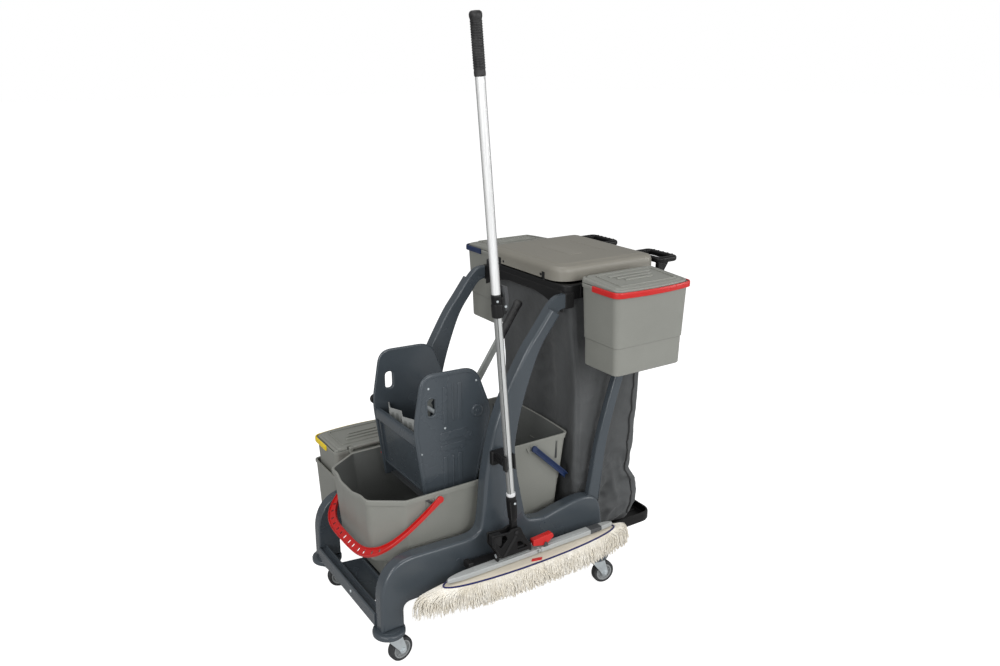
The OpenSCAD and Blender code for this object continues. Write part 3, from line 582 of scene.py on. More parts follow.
# ------------------------------------------------------------------ bag ring, lid, handles, tray
m = Mesh()
m.slab(rp(box2(600, 975, -222, 222), 34, 8), 985, 1030, "z", 5.0, 4, holes=[rp(box2(622, 955, -204, 204), 24, 8)])
skirt = cr([(-206, 948), (-170, 962), (-120, 978), (-60, 988), (0, 991), (60, 988), (120, 978), (170, 962), (206, 948)], 6) + [(206, 1012), (-206, 1012)]
m.slab(skirt, 599.4, 607, "x", 2.0, 3)
for s in (-1, 1):
    y0, y1 = sorted((s * 226, s * 206))
    m.rbox(600.2, 634, y0, y1, 962, 1010, 4.0, 5.0)
    y0, y1 = sorted((s * 124, s * 112))
    m.slab(rp([(600, 1026), (613, 1026), (613, 1042), (610, 1049), (603, 1049), (600, 1044)], 3, 3), y0, y1, "y", 1.0, 2)
    # ribs under the rail and hooks for the bag's hem
    for x in (660, 720, 780, 840, 900):
        y0, y1 = sorted((s * 223.5, s * 219))
        m.rbox(x - 4, x + 4, y0, y1, 990, 1024, 1.2)
m.done("bag_ring_rail", BLACK, "chassis", ["bag_ring"], "black_plastic")

m = Mesh()
for s in (-1, 1):
    y0, y1 = sorted((s * 212, s * 73))
    h0, h1 = sorted((s * 194, s * 91))
    m.slab(rp(box2(972, 1058, y0, y1), 24, 9), 1048, 1066, "z", 7.0, 6, holes=[rp(box2(990, 1039, h0, h1), 12, 6)])
    for y in (199, 87):
        a, b = sorted((s * (y + 8), s * (y - 8)))
        m.slab(rp([(975, 988), (984, 988), (992, 1000), (1004, 1030), (1020, 1052), (976, 1052)], [3, 3, 8, 10, 3, 3], 5), a, b, "y", 3.0, 4)
    for y in (184, 164, 143, 122, 102):
        a, b = sorted((s * (y + 2), s * (y - 2)))
        m.rbox(1043, 1055.5, a, b, 1064.8, 1066.8, 0.9)
m.done("push_handle_pair", [BLACK], "chassis", ["push_handles"], "black_plastic")

m = Mesh()
tray_o = rp(box2(765, 1028, -190, 190), [6, 45, 45, 6], 8)


def ring3(p, z):
    return [(x, y, z) for x, y in p]


m.loft([ring3(inset(tray_o, 8), 132), ring3(inset(tray_o, 2.5), 134), ring3(tray_o, 139), ring3(tray_o, 162), ring3(inset(tray_o, 1.2), 166.5), ring3(inset(tray_o, 3.5), 168),
        ring3(inset(tray_o, 6.5), 167.5), ring3(inset(tray_o, 8.5), 164), ring3(inset(tray_o, 10), 146), ring3(inset(tray_o, 14), 143)])
for y in (-120, -60, 0, 60, 120):
    m.rbox(785, 1008, y - 4, y + 4, 142, 146, 1.5)
m.done("bag_tray", BLACK, "chassis", ["bag_base"], "black_plastic")


def lid_ring(e, z):
    p = rp(box2(598 + e, 967 - e, -200 + e, 200 - e), [max(62 - e, 6), max(32 - e, 6), max(32 - e, 6), max(62 - e, 6)], 8)
    return [(x, y, z) for x, y in p]


m = Mesh()
m.loft([lid_ring(5, 1064), lid_ring(3.6, 1037), lid_ring(2.4, 1034.4), lid_ring(1.0, 1034), lid_ring(0, 1035), lid_ring(0, 1056), lid_ring(0.2, 1061.5), lid_ring(1.0, 1066.5), lid_ring(2.8, 1070.8), lid_ring(5.6, 1074.2),
        lid_ring(9.5, 1076.8), lid_ring(14, 1078.2), lid_ring(21, 1079.0), lid_ring(24, 1079.5), lid_ring(27, 1081.0), lid_ring(31, 1082.2), lid_ring(40, 1082.9), lid_ring(80, 1083.6), lid_ring(140, 1084.0)], cap0=True, cap1=True)
# long shallow bead near the rear edge and a bare raised panel where a label would sit
m.slab(stadium(856, 863, -92, 92, 8), 1082.4, 1084.6, "z", 0.8, 2)
m.slab(rp(box2(722, 772, -86, 66), 7, 4), 1083.0, 1084.6, "z", 0.7, 2)
for s in (-1, 1):
    for y in (132, 111.6):
        a, b = sorted((s * y, s * (y - 7.2)))
        m.slab(circle2(606, 1043, 6.5, 24), a, b, "y", 0.8, 2)
        m.rbox(601, 611, a, b, 1043, 1070, 0.8)
    # black boxes on the front edge paint the shade of the slots round the hinge lugs, and a plug beside each
    a, b = sorted((s * 125.4, s * 110.6))
    m.rbox(597.0, 601.0, a, b, 1034.6, 1053.6, 0.7, mat=1)
    m.revolve([(0, 0), (4.2, 0), (4.0, 1.2), (2.4, 1.6), (0, 1.2)], (598.2, s * 101 - 4, 1044), (-1, 0, 0), 20, 1)
m.done("bag_lid_shell", [LIDGREY, BLACK], "bag_lid", ["bag_lid"], "grey_plastic")

# ------------------------------------------------------------------ waste bag
BAGZ = [(150, 690, 925, 150), (156, 677, 934, 168), (190, 671, 945, 190), (225, 669, 950, 199), (270, 669, 956, 202), (325, 669, 941, 203), (362, 669, 918, 203), (460, 668, 925, 203), (700, 661, 940, 202), (900, 640, 948, 201), (984, 627, 950, 200), (1022, 627, 950, 199)]


def bag_at(z):
    zs = [b[0] for b in BAGZ]
    return [float(np.interp(z, zs, [b[i] for b in BAGZ])) for i in (1, 2, 3)]


def bag_mesh():
    m, nu, rings = Mesh(), 260, []
    levels = [157, 160, 168] + list(np.linspace(182, 1022, 124))
    for z in levels:
        x0, x1, hw = bag_at(z)
        base = rp(box2(x0, x1, -hw, hw), 30, 10)
        q = np.array(base + [base[0]])
        seg = np.concatenate([[0], np.cumsum(np.linalg.norm(np.diff(q, axis=0), axis=1))])
        t = np.linspace(0, seg[-1], nu, endpoint=False)
        px, py = np.interp(t, seg, q[:, 0]), np.interp(t, seg, q[:, 1])
        cx, cy = (x0 + x1) / 2, 0.0
        ring = []
        top = max(0.0, min(1.0, (z - 880) / 100))  # calm towards the hem
        low = max(0.0, min(1.0, (330 - z) / 170))
        for i in range(nu):
            a, b = (px[i] - cx) / (x1 - x0) * 2, py[i] / hw
            on_front, on_rear, on_side = a < -0.93, a > 0.93, abs(b) > 0.93
            n = np.array([a ** 7, b ** 7])
            n = n / max(np.linalg.norm(n), 1e-6)
            u = py[i] if abs(n[0]) > abs(n[1]) else px[i]
            mid = 1 - min(1.0, abs(b) if abs(n[0]) > abs(n[1]) else abs(a)) ** 2.2
            # cloth drawn in between the corners, fuller near the foot
            d = -mid * (10 if abs(n[0]) > abs(n[1]) else 8) * (1 - 0.75 * low) * (1 - 0.85 * top)
            # long soft folds hanging from the ring, uneven in width and depth
            ph = noise.noise(Vector((u * 0.004, z * 0.0011, 3.1 + 5 * n[0])))
            amp = 0.35 + 0.9 * max(0.0, noise.noise(Vector((u * 0.007, z * 0.0022, 11.0 + 3 * n[0]))) + 0.25)
            fold = math.sin(u * 0.037 + 5.0 * ph + 0.0016 * z) + 0.35 * math.sin(u * 0.083 + 7 * ph + 0.9)
            d += (fold - 1.1) * 4.6 * amp * mid ** 0.6 * (1 - 0.55 * low) * (1 - 0.8 * top)
            # slanting creases over the bulge at the foot and above the waist
            sl = noise.noise(Vector((u * 0.010 + z * 0.007, z * 0.013 - u * 0.004, 8.0 + n[0])))
            sl = 1 - abs(sl) * 2.2
            waist = math.exp(-((z - 340) / 95.0) ** 2)
            d += (sl - 0.9) * 9.0 * (0.34 + 0.9 * waist + 0.6 * low) * (1 - top) * mid ** 0.35
            # finer crumples, stronger on the two flanks
            cr2 = 1 - 2.0 * abs(noise.noise(Vector((u * 0.021 - z * 0.012, z * 0.019 + u * 0.006, 21.0 + 4 * n[1]))))
            d += (cr2 - 0.8) * 6.0 * (0.30 + 0.70 * abs(n[1])) * (0.30 + waist + 0.8 * low) * (1 - top) * mid ** 0.3
            ring.append((px[i] + n[0] * min(d, 0.6), py[i] + n[1] * min(d, 0.6), z))
        rings.append(ring)
    m.loft(rings, 0, False, False)
    n = nu
    foot = [(lerp(x, 810, 0.25), lerp(y, 0, 0.25), 156.6) for x, y, z in rings[0]]
    foot2 = [(lerp(x, 810, 0.75), lerp(y, 0, 0.75), 157.5) for x, y, z in rings[0]]
    m.loft([foot2, foot, rings[0]], 0, True, False)
    return m, rings


m, bag_rings = bag_mesh()
bag = m.done("waste_bag", [BAGCLOTH, ZIP], "chassis", ["bag"], "bag_fabric", angle=75, wn=False)

# ------------------------------------------------------------------ mop buckets
FBL = [(156, [(74, 84), (74, -84), (150, -160), (340, -160), (340, 160), (150, 160)]),
       (215, [(60, 92), (60, -92), (136, -164), (342, -164), (342, 164), (136, 164)]),
       (255, [(40, 100), (40, -100), (120, -168), (346, -168), (346, 168), (120, 168)]),
       (273, [(10, 112), (10, -112), (100, -174), (349, -172), (349, 172), (100, 174)]),
       (476, [(-4, 122), (-4, -122), (88, -184), (364, -184), (364, 184), (88, 184)])]
FBD = [(-1, 0.6), (-1, -0.6), (-0.5, -1), (1, -1), (1, 1), (-0.5, 1)]


def fb_out(z):
    """Outline at a height: the front is undercut below a crease."""
    for (z0, a), (z1, b) in zip(FBL, FBL[1:]):
        if z <= z1:
            k = (z - z0) / (z1 - z0)
            return [lerp(np.array(u, float), np.array(v, float), k) for u, v in zip(a, b)]
    return [np.array(u, float) for u in FBL[-1][1]]


def fb_ring(zo, e, z, spout=0.0):
    c = [tuple(q + e * np.array(d)) for q, d in zip(fb_out(zo), FBD)]
    p = rp(c, [15, 15, 6, 20, 20, 6], 6)
    # the front edge gets extra points for the pouring lip
    out = []
    for i, q in enumerate(p):
        out.append(q)
        nx = p[(i + 1) % len(p)]
        if abs(q[0] - nx[0]) < 0.5 and q[0] < 100 and q[1] > nx[1] + 60:
            out += [(q[0], y) for y in np.linspace(q[1], nx[1], 30)[1:-1]]
    res = []
    for x, y in out:
        w = 0.0
        if x < 60:
            w = max(0.0, min(1.0, (92 - abs(y)) / 62))
            w = w * w * (3 - 2 * w)
        res.append((x - 8 * spout * w, y, z - 5 * spout * w))
    return res


def front_bucket():
    m, z, t = Mesh(), 476, 3.0
    m.loft([fb_ring(156, -4, 156), fb_ring(156, -1.2, 156.8), fb_ring(159, 0, 159), fb_ring(187, 0, 187), fb_ring(215, 0, 215), fb_ring(238, 0, 238), fb_ring(253, 0, 253), fb_ring(261, 0, 261), fb_ring(267, 0, 267),
            fb_ring(270.5, 0, 270.5), fb_ring(272.5, -0.9, 274.5), fb_ring(279, -0.2, 279.5), fb_ring(290, 0, 290), fb_ring(347, 0, 347, 0.15), fb_ring(428, 0, 428, 0.6), fb_ring(458.8, 0, 458.8, 0.93), fb_ring(461, 0, 461, 0.95),
            fb_ring(461.4, 4.4, 461.4, 1), fb_ring(462.6, 4.9, 462.6, 1), fb_ring(471, 4.6, 471, 1), fb_ring(z, 4.2, z - 1.2, 1), fb_ring(z, 2.8, z, 1), fb_ring(z, -1.6, z, 1), fb_ring(z, -t, z - 1.4, 1),
            fb_ring(428, -t, 428, 0.6), fb_ring(347, -t, 347, 0.15), fb_ring(290, -t, 290), fb_ring(273, -t, 275.5), fb_ring(255, -t, 257.5), fb_ring(215, -t, 216.5), fb_ring(164, -t, 164), fb_ring(156, -8, 159.6)])
    n = len(fb_ring(156, -4, 156))
    # painted shade: the band just under the rim and all the inner faces take the darker grey
    for i in range(len(m.m)):
        if i // n == 15 or i // n >= 23:
            m.m[i] = 2
    # thin strip in the painted-shade grey down the crease beside the front facet
    for s in (-1, 1):
        m.tube([(152, s * (abs(fb_out(zz)[3][1]) + 0.1), zz) for zz in np.linspace(322, 459, 9)], 0.8, 8, 2)
    for s in (-1, 1):
        m.revolve([(5.3, 182), (11, 182), (11.5, 184), (10, 189.2), (9, 190), (5.3, 190)], (190, 0, 456), (0, s, 0), 32, closed=True)
        a, b = sorted((s * 182, s * 186.4))
        m.slab(rp([(168, 462), (212, 462), (204, 441), (176, 441)], 5, 3), a, b, "y", 0.8, 2)
        a, b = sorted((s * 181, s * 186.0))
        m.slab(rp([(146, 461), (158, 461), (172, 447), (166, 443)], 1.5, 3), a, b, "y", 0.6, 2, mat=1)
    # graduation steps inside, left without numbers
    for i in range(6):
        zz = 220 + 34 * i
        x = fb_out(zz)[3][0] - 3.4
        m.rbox(x - 1.2, x + 0.6, -24, 24 if i % 2 else 0, zz, zz + 1.6, 0.5)
    return m


front_bucket().done("front_bucket_shell", [GREY, DARK, GREY_PAINTED_SHADE], "front_bucket", ["front_bucket"], "grey_plastic")

RBB = [(424, 160), (424, -160), (612, -160), (612, 160)]
RBT = [(410, 184), (410, -184), (652, -184), (652, 184)]
RBD = [(-1, 1), (-1, -1), (1, -1), (1, 1)]


def rb_ring(k, e, z, step=0.0):
    c = [list(lerp(np.array(b, float), np.array(t, float), k) + e * np.array(d)) for b, t, d in zip(RBB, RBT, RBD)]
    c[2][0] -= step
    c[3][0] -= step
    p = fill(rp(c, 22, 7), 23, 16)
    return [(x + 7.0 * k * k * max(0.0, 1 - (y / 170) ** 2) if x > 600 else x, y, z) for x, y in p]


m, z, t = Mesh(), 549, 3.0
m.loft([rb_ring(0, -4, 156), rb_ring(0, -1.2, 156.8), rb_ring(0.006, 0, 159), rb_ring(0.28, 0, 266), rb_ring(0.60, 0, 388, 3), rb_ring(0.615, 0, 394, 0), rb_ring(0.955, 0, 531),
        rb_ring(0.958, 2.4, 532.2), rb_ring(0.985, 2.8, 543), rb_ring(0.99, 3.2, 544), rb_ring(1, 3.0, z - 1.2), rb_ring(1, 1.8, z), rb_ring(1, -1.6, z), rb_ring(1, -t, z - 1.4),
        rb_ring(0.615, -t, 394), rb_ring(0.6, -t, 388, 3), rb_ring(0.28, -t, 266), rb_ring(0.01, -t, 164), rb_ring(0, -8, 159.6)])
n = len(rb_ring(0, -4, 156))
# painted shade: the inner faces take the darker grey
for i in range(len(m.m)):
    if i // n >= 13:
        m.m[i] = 2
for s in (-1, 1):
    m.revolve([(5.3, 182), (11, 182), (11.5, 184), (10, 189.2), (9, 190), (5.3, 190)], (520, 0, 528), (0, s, 0), 32, closed=True)
    a, b = sorted((s * 180, s * 186.2))
    m.slab(rp([(496, 532), (544, 532), (534, 512), (506, 512)], 5, 3), a, b, "y", 0.8, 2)
    # narrow upright rib, and beside it a dark strip that paints the shade of a groove
    a, b = sorted((s * 179, s * 184.6))
    m.rbox(613, 615.4, a, b, 470, 531, 0.7)
    a, b = sorted((s * 178, s * 183.0))
    m.rbox(608.5, 611.5, a, b, 470, 530, 0.5, mat=1)
for i in range(7):
    zz = 230 + 40 * i
    x = lerp(612, 652, (zz - 156) / 393) - 3.6
    m.rbox(x - 1.2, x + 0.6, -24, 24 if i % 2 else 0, zz, zz + 1.6, 0.5)
m.done("rear_bucket_shell", [GREY, DARK, GREY_PAINTED_SHADE], "rear_bucket", ["rear_bucket"], "grey_plastic")


# bails: a channel strap with ribs along both edges
def bail_mesh(depth, p, width, n, tilt, pivot, holes, a):
    c, s = math.cos(math.radians(tilt)), math.sin(math.radians(tilt))
    ts = np.linspace(0, math.pi, n * 4)
    raw = np.array([(np.sign(math.cos(t)) * a * abs(math.cos(t)) ** (2 / p), -(depth - 2.7) * abs(math.sin(t)) ** (2 / p)) for t in ts])
    seg = np.concatenate([[0], np.cumsum(np.linalg.norm(np.diff(raw, axis=0), axis=1))])
    tt = np.linspace(0, seg[-1], n)
    line = np.stack([np.interp(tt, seg, raw[:, 0]), np.interp(tt, seg, raw[:, 1])], 1)
    path, frames = [], []

    def place(y, v, w):  # v down the plane, w across the strap
        x, z = w, v
        return np.array([x * c + z * s, y, -x * s + z * c]) + np.array([pivot[0], 0, pivot[1]])

    for i in range(n):
        d = line[min(i + 1, n - 1)] - line[max(i - 1, 0)]
        d = d / np.linalg.norm(d)
        nrm = np.array([d[1], -d[0]])
        if np.dot(nrm, line[i]) < 0:
            nrm = -nrm
        o = place(line[i][0], line[i][1], 0)
        path.append(o)
        frames.append((place(line[i][0] + nrm[0], line[i][1] + nrm[1], 0) - o, place(line[i][0], line[i][1], 1) - o))
    h = width / 2
    # outer side has two rims with a groove between them
    sec = [(-2.6, -h + 1.6), (-1.6, -h), (1.8, -h), (2.7, -h + 1.0), (2.7, -h + 3.2), (1.9, -h + 4.4), (-0.6, -h + 4.8),
           (-0.6, h - 4.8), (1.9, h - 4.4), (2.7, h - 3.2), (2.7, h - 1.0), (1.8, h), (-1.6, h), (-2.6, h - 1.6)]
    m, pins = Mesh(), Mesh()
    m.sweep(path, frames, sec)
    for sg in (-1, 1):
        ax = place(sg, 0, 0) - place(0, 0, 0)
        pins.revolve([(0, 177.5), (4.2, 177.5), (5, 178.4), (5, a - 3.2), (9.8, a - 2.6), (10.4, a - 1.2), (10.4, a + 2.4), (9.4, a + 3.8), (0, a + 3.8)], place(0, 0, 0), ax, 30)
    cut = Mesh()
    mid = seg[-1] / 2
    for k in range(holes):
        w = mid + (k - (holes - 1) / 2) * 25
        i = int(round(w / seg[-1] * (n - 1)))
        o, (u, v) = path[i], frames[i]
        tng = np.cross(u, v)
        ring = [(3.0 * math.cos(q), 5.2 * math.sin(q)) for q in np.linspace(0, 2 * math.pi, 16, endpoint=False)]
        cut.loft([[tuple(o + h2 * u + x1 * v + x2 * tng) for x1, x2 in ring] for h2 in (-8, 8)])
    return m, cut, pins


def bail(name, mat, body, node, slot, *a):
    m, cut, pins = bail_mesh(*a)
    carve(m, cut, name, mat, body, [node])
    pins.done(name + "_pivots", mat, body, (), slot)


def flat_bail(a=197.5, depth=261.0, p=3.6, n=150, tilt=55, pivot=(190, 456), holes=13):
    """A bail whose web lies in the plane of its loop, narrow at the pivots and broad at the hand."""
    c, s = math.cos(math.radians(tilt)), math.sin(math.radians(tilt))
    raw = np.array([(np.sign(math.cos(t)) * a * abs(math.cos(t)) ** (2 / p), -depth * abs(math.sin(t)) ** (2 / p)) for t in np.linspace(0, math.pi, n * 4)])
    seg = np.concatenate([[0], np.cumsum(np.linalg.norm(np.diff(raw, axis=0), axis=1))])
    tt = np.linspace(0, seg[-1], n)
    line = np.stack([np.interp(tt, seg, raw[:, 0]), np.interp(tt, seg, raw[:, 1])], 1)

    def place(y, v, w):
        return np.array([w * c + v * s, y, -w * s + v * c]) + np.array([pivot[0], 0, pivot[1]])

    m, cut, pins, rings, fr = Mesh(), Mesh(), Mesh(), [], []
    for i in range(n):
        d = line[min(i + 1, n - 1)] - line[max(i - 1, 0)]
        d = d / np.linalg.norm(d)
        nrm = np.array([d[1], -d[0]])
        nrm = -nrm if np.dot(nrm, line[i]) < 0 else nrm
        o = place(line[i][0], line[i][1], 0)
        u, v = place(line[i][0] + nrm[0], line[i][1] + nrm[1], 0) - o, place(line[i][0], line[i][1], 1) - o
        t1 = min(1.0, max(0.0, (min(tt[i], seg[-1] - tt[i]) - 6) / 50))
        t1, b1 = t1 * t1 * (3 - 2 * t1), abs(d[0]) ** 2 * (3 - 2 * abs(d[0]))
        hw, ht = lerp(3.4, 7.2, t1) + 6.8 * b1, lerp(9.0, 5.4, t1)
        wt, k = lerp(7.0, 1.2, t1), min(3.2, hw - 0.4)
        half = [(-hw, ht - 1.0), (-hw + 0.3 * k, ht), (-hw + 0.75 * k, ht), (-hw + k, wt), (hw - k, wt), (hw - 0.75 * k, ht), (hw - 0.3 * k, ht), (hw, ht - 1.0)]
        sec = half + [(q, -w) for q, w in half[::-1]]
        rings.append([tuple(o + q * u + w * v) for q, w in sec])
        fr.append((o, u, v, hw))
    m.loft(rings)
    for sg in (-1, 1):
        pins.revolve([(0, 177.5), (4.2, 177.5), (5, 178.4), (5, a - 3.4), (9.8, a - 3.0), (10.6, a - 1.6), (10.6, a + 2.6), (9.4, a + 4.0), (0, a + 4.0)], place(0, 0, 0), place(sg, 0, 0) - place(0, 0, 0), 30)
    for k in range(holes):
        i = int(round((0.5 + (k - (holes - 1) / 2) * 29 / seg[-1]) * (n - 1)))
        o, u, v, hw = fr[i]
        tng, hl = np.cross(u, v), max(2.6, min(5.6, hw - 6.4))
        ring = [(hl * math.copysign(abs(math.cos(q)) ** 0.6, math.cos(q)), 3.4 * math.copysign(abs(math.sin(q)) ** 0.6, math.sin(q))) for q in np.linspace(0, 2 * math.pi, 16, endpoint=False)]
        cut.loft([[tuple(o + x1 * u + x2 * tng + h2 * v) for x1, x2 in ring] for h2 in (-8, 8)])
    carve(m, cut, "front_bail_strap", RED, "front_bail", ["front_bail"])
    pins.done("front_bail_strap_pivots", RED, "front_bail", (), "red_plastic")


flat_bail()
bail("rear_bail_strap", BLUE, "rear_bail", "rear_bail", "blue_plastic", 202, 9, 18, 110, -46, (520, 528), 7, 194.2)


# ------------------------------------------------------------------ small buckets
def bow(q):
    """The outer side bows outwards towards the rim."""
    x, y, z = q
    w = min(1.0, max(0.0, (-300 - y) / 90)) * min(1.0, max(0.0, (z - 940) / 90))
    return np.array([x, y + w * (4.0 - 13.5 * (1 - ((x - 781) / 140) ** 2)), z])


def rise(q, det=False):
    """The lids at the back climb towards their hinge side."""
    x, y, z = q
    k = 0.0 if det and y > -255 else min(1.0, max(0.0, (y + 392) / 154)) * min(1.0, max(0.0, (z - 1043) / 4))
    return np.array([x, y, z + 9.0 * k])


def sb_ring(k, e, z):
    p = rp(box2(lerp(656, 644, k) - e, lerp(910, 918, k) + e, lerp(-394, -402, k) - e, lerp(-240, -238, k) + e), 22 + e, 8)
    return [(x, y, z) for x, y in fill(p, 8, 14)]


def small_bucket():
    m, zt, zb = Mesh(), 1040, 790
    st = zb + 84
    m.loft([sb_ring(0, -9, zb), sb_ring(0, -5, zb + 1), sb_ring(0.02, -2, zb + 4), sb_ring(0.06, -2, zb + 14), sb_ring(0.25, -2.4, st - 1), sb_ring(0.255, -1.8, st + 1), sb_ring(0.26, -0.3, st + 2.4), sb_ring(0.265, 0, st + 4),
            sb_ring(0.92, 0, zt - 20), sb_ring(0.955, 0, zt - 12), sb_ring(0.957, 2.4, zt - 11), sb_ring(0.96, 3, zt - 10), sb_ring(1, 3, zt - 1.4), sb_ring(1, 2, zt), sb_ring(1, -1.4, zt), sb_ring(1, -2.5, zt - 1.2),
            sb_ring(0.27, -2.5, st + 5), sb_ring(0.25, -5, st), sb_ring(0.04, -5, zb + 10), sb_ring(0, -10, zb + 3)])
    # hanger plate over the ring rail, with hinge posts and the lid's pin
    m.slab(rp(box2(690, 872, -240, -213), 5, 4), 1031, 1036, "z", 1.5, 3)
    for x in (690, 860):
        m.slab(rp([(-237, 1031), (-225, 1031), (-225, 1049), (-228, 1053), (-234, 1053), (-237, 1049)], 2.5, 3), x, x + 12, "x", 1.2, 3)
    m.revolve([(0, 0), (2.4, 0), (3, 0.8), (3, 180.2), (2.4, 181), (0, 181)], (690.5, -232, 1047), (1, 0, 0), 20)
    return m


def small_lid():
    """Lid plate, the notches round its hinge posts, and its raised details."""
    m, det, cut = Mesh(), Mesh(), Mesh()

    def r(e, z):
        p = rp(box2(646 + e, 916 - e, -400 + e, -238 - e * 0.4), [max(22 - e * 0.5, 6), max(22 - e * 0.5, 6), 10, 10], 7)
        return [(x, y, z) for x, y in fill(p, 7, 14)]

    m.loft([r(2, 1040.4), r(0.4, 1041), r(0, 1042.2), r(0.2, 1045.0), r(1.4, 1046.4), r(3.4, 1047.0), r(7, 1047.4), r(8.4, 1046.4), r(11, 1046.2), r(12.6, 1047.2), r(14, 1049.0), r(16, 1049.8), r(40, 1050.4)])
    # embossed border, bare ridges in place of the moulded words, and the hinge bar
    det.slab(rp(box2(676, 886, -380, -262), 9, 5), 1049.0, 1053.4, "z", 1.0, 3, holes=[rp(box2(681, 881, -375, -267), 7, 5)])
    for i, (x0, x1) in enumerate(((704, 858), (716, 846), (730, 832))):
        det.slab(stadium(x0, x1, -297 - 21 * i, -287 - 21 * i, 5), 1049.4, 1055.0, "z", 2.0, 4)
    det.slab(rp(box2(704, 858, -243, -230), 4, 4), 1041, 1050, "z", 1.6, 3)
    det.revolve([(3.3, 0), (5.6, 0), (6.3, 0.8), (6.3, 155.2), (5.6, 156), (3.3, 156)], (703, -232, 1047), (1, 0, 0), 26, closed=True)
    for x in (687, 859.2):
        cut.rbox(x, x + 15.8, -246, -216, 1030, 1074, 1.0)
    return m, det, cut


def small_clip():
    """Colour strip clipped over the rim: along the outer side and part of both ends."""
    m = Mesh()
    mid = [(638.4, -300), (638.4, -384)] + bz((638.4, -386), (638.4, -407.6), (660, -407.6), 8)[1:] + [(x, -407.6) for x in np.linspace(676, 886, 14)] + bz((902, -407.6), (923.6, -407.6), (923.6, -386), 8) + [(923.6, -300)]
    mid = tidy2(mid)
    path, frames = [], []
    for i, q in enumerate(mid):
        a, b = np.array(mid[max(i - 1, 0)]), np.array(mid[min(i + 1, len(mid) - 1)])
        d = (b - a) / np.linalg.norm(b - a)
        nrm = np.array([-d[1], d[0]])
        if np.dot(nrm, np.array(q) - np.array([781, -330])) < 0:
            nrm = -nrm
        path.append((q[0], q[1], 1034.5))
        frames.append(((nrm[0], nrm[1], 0), (0, 0, 1)))
    sec = rp([(-2.3, -8.5), (2.0, -8.5), (2.4, -2), (2.4, 4), (1.4, 8.4), (-2.3, 8.4)], [0.8, 1.2, 2, 2, 1.4, 0.8], 3)
    m.sweep(path, frames, sec)
    return m


SMALL = {"red": (lambda m: m, RED, "red_plastic"), "blue": (lambda m: m.mirror_y(), BLUE, "blue_plastic"), "yellow": (lambda m: m.mirror_y((-584, 18, -586)), YELLOW, "yellow_plastic")}
for k, (fn, mat, slot) in SMALL.items():
    fn(small_bucket().moved(bow)).done(f"small_bucket_{k}_shell", GREY, f"small_bucket_{k}", [f"small_bucket_{k}"], "grey_plastic")
    lid, det, cut = small_lid()
    lid = lid.moved(bow)
    if k != "yellow":
        lid, det = lid.moved(rise), det.moved(lambda q: rise(q, True))
    carve(fn(lid), fn(cut), f"small_lid_{k}_shell", GREY, f"small_lid_{k}", [f"small_lid_{k}"])
    fn(det).done(f"small_lid_{k}_detail", GREY, f"small_lid_{k}", (), "grey_plastic")
    fn(small_clip().moved(bow)).done(f"clip_{k}_strip", mat, f"small_bucket_{k}", [f"clip_{k}"], slot)


def holder_ring(e, z, f):
    return [(x, y, z) for x, y in rp(box2(54 - f - e, 338 + f + e, 252 - e, 424 + f + e), 18, 6)]


m = Mesh()
m.loft([holder_ring(-5, 200, -6), holder_ring(-1, 201, -6), holder_ring(0, 204, -5.8), holder_ring(0, 362, 0), holder_ring(2.4, 363, 0), holder_ring(3, 364.4, 0), holder_ring(3, 371.6, 0), holder_ring(2, 373, 0), holder_ring(-2, 373, 0),
        holder_ring(-3, 371.8, 0), holder_ring(-3, 206, -5.8), holder_ring(-7, 203, -6)])
for x in (110, 236):
    m.slab(rp([(236, 312), (239.6, 312), (239.6, 337), (255, 337), (255, 341.4), (240, 341.4), (236, 338)], [1, 1, 1, 1, 1, 3, 2], 4), x, x + 24, "x", 0.8, 3)
    m.rbox(x, x + 24, 248.4, 254.5, 320, 341, 1.0)
m.done("side_holder_box", GREY, "chassis", ["side_holder"], "grey_plastic")

# ------------------------------------------------------------------ wringer
panel_pts = rp([(176, 402), (143, 655), (172, 815), (350, 810), (403, 668), (340, 402)], [5, 40, 40, 44, 26, 5], 9)
LS = (352.0, 674.0)
_ga = math.radians(22)
JS = (LS[0] - 78 * math.sin(_ga), LS[1] - 78 * math.cos(_ga))


def panel():
    m = Mesh()
    slot = stadium(188, 214, 688, 742, 10)
    m.slab(panel_pts, -138.6, -128.4, "y", 4.6, 6, holes=[slot])
    # thickened rim round the outer edge and round the hand slot
    rim = tidy2(panel_pts)
    rim = rim if area2(rim) > 0 else rim[::-1]
    m.slab(inset(rim, 3.0), -140.2, -136, "y", 1.8, 4, holes=[inset(rim, 12)])
    m.slab(stadium(183, 219, 683, 747, 10), -140.0, -136, "y", 1.3, 3, holes=[stadium(188.2, 213.8, 688.2, 741.8, 10)])
    # raised stiffening pads with soft edges
    for x0, x1, z0, z1 in ((238, 252, 654, 770), (268, 274, 660, 774), (286, 300, 660, 774), (236, 250, 440, 553), (266, 272, 440, 553), (286, 300, 440, 556)):
        m.slab(rp(box2(x0, x1, z0, z1), 5, 4), -140.6, -137.4, "y", 1.8, 3)
    m.slab(rp(box2(226, 316, 604, 630), 6, 4), -140.6, -137.4, "y", 1.8, 3)
    m.slab(rp(box2(228, 312, 572, 590), 6, 4), -140.2, -137.4, "y", 1.5, 3)
    return m


panel().done("wringer_panel_near_shell", SLATE, "wringer", ["wringer_panel_near"], "slate_plastic")
panel().mirror_y().done("wringer_panel_far_shell", SLATE, "wringer", ["wringer_panel_far"], "slate_plastic")

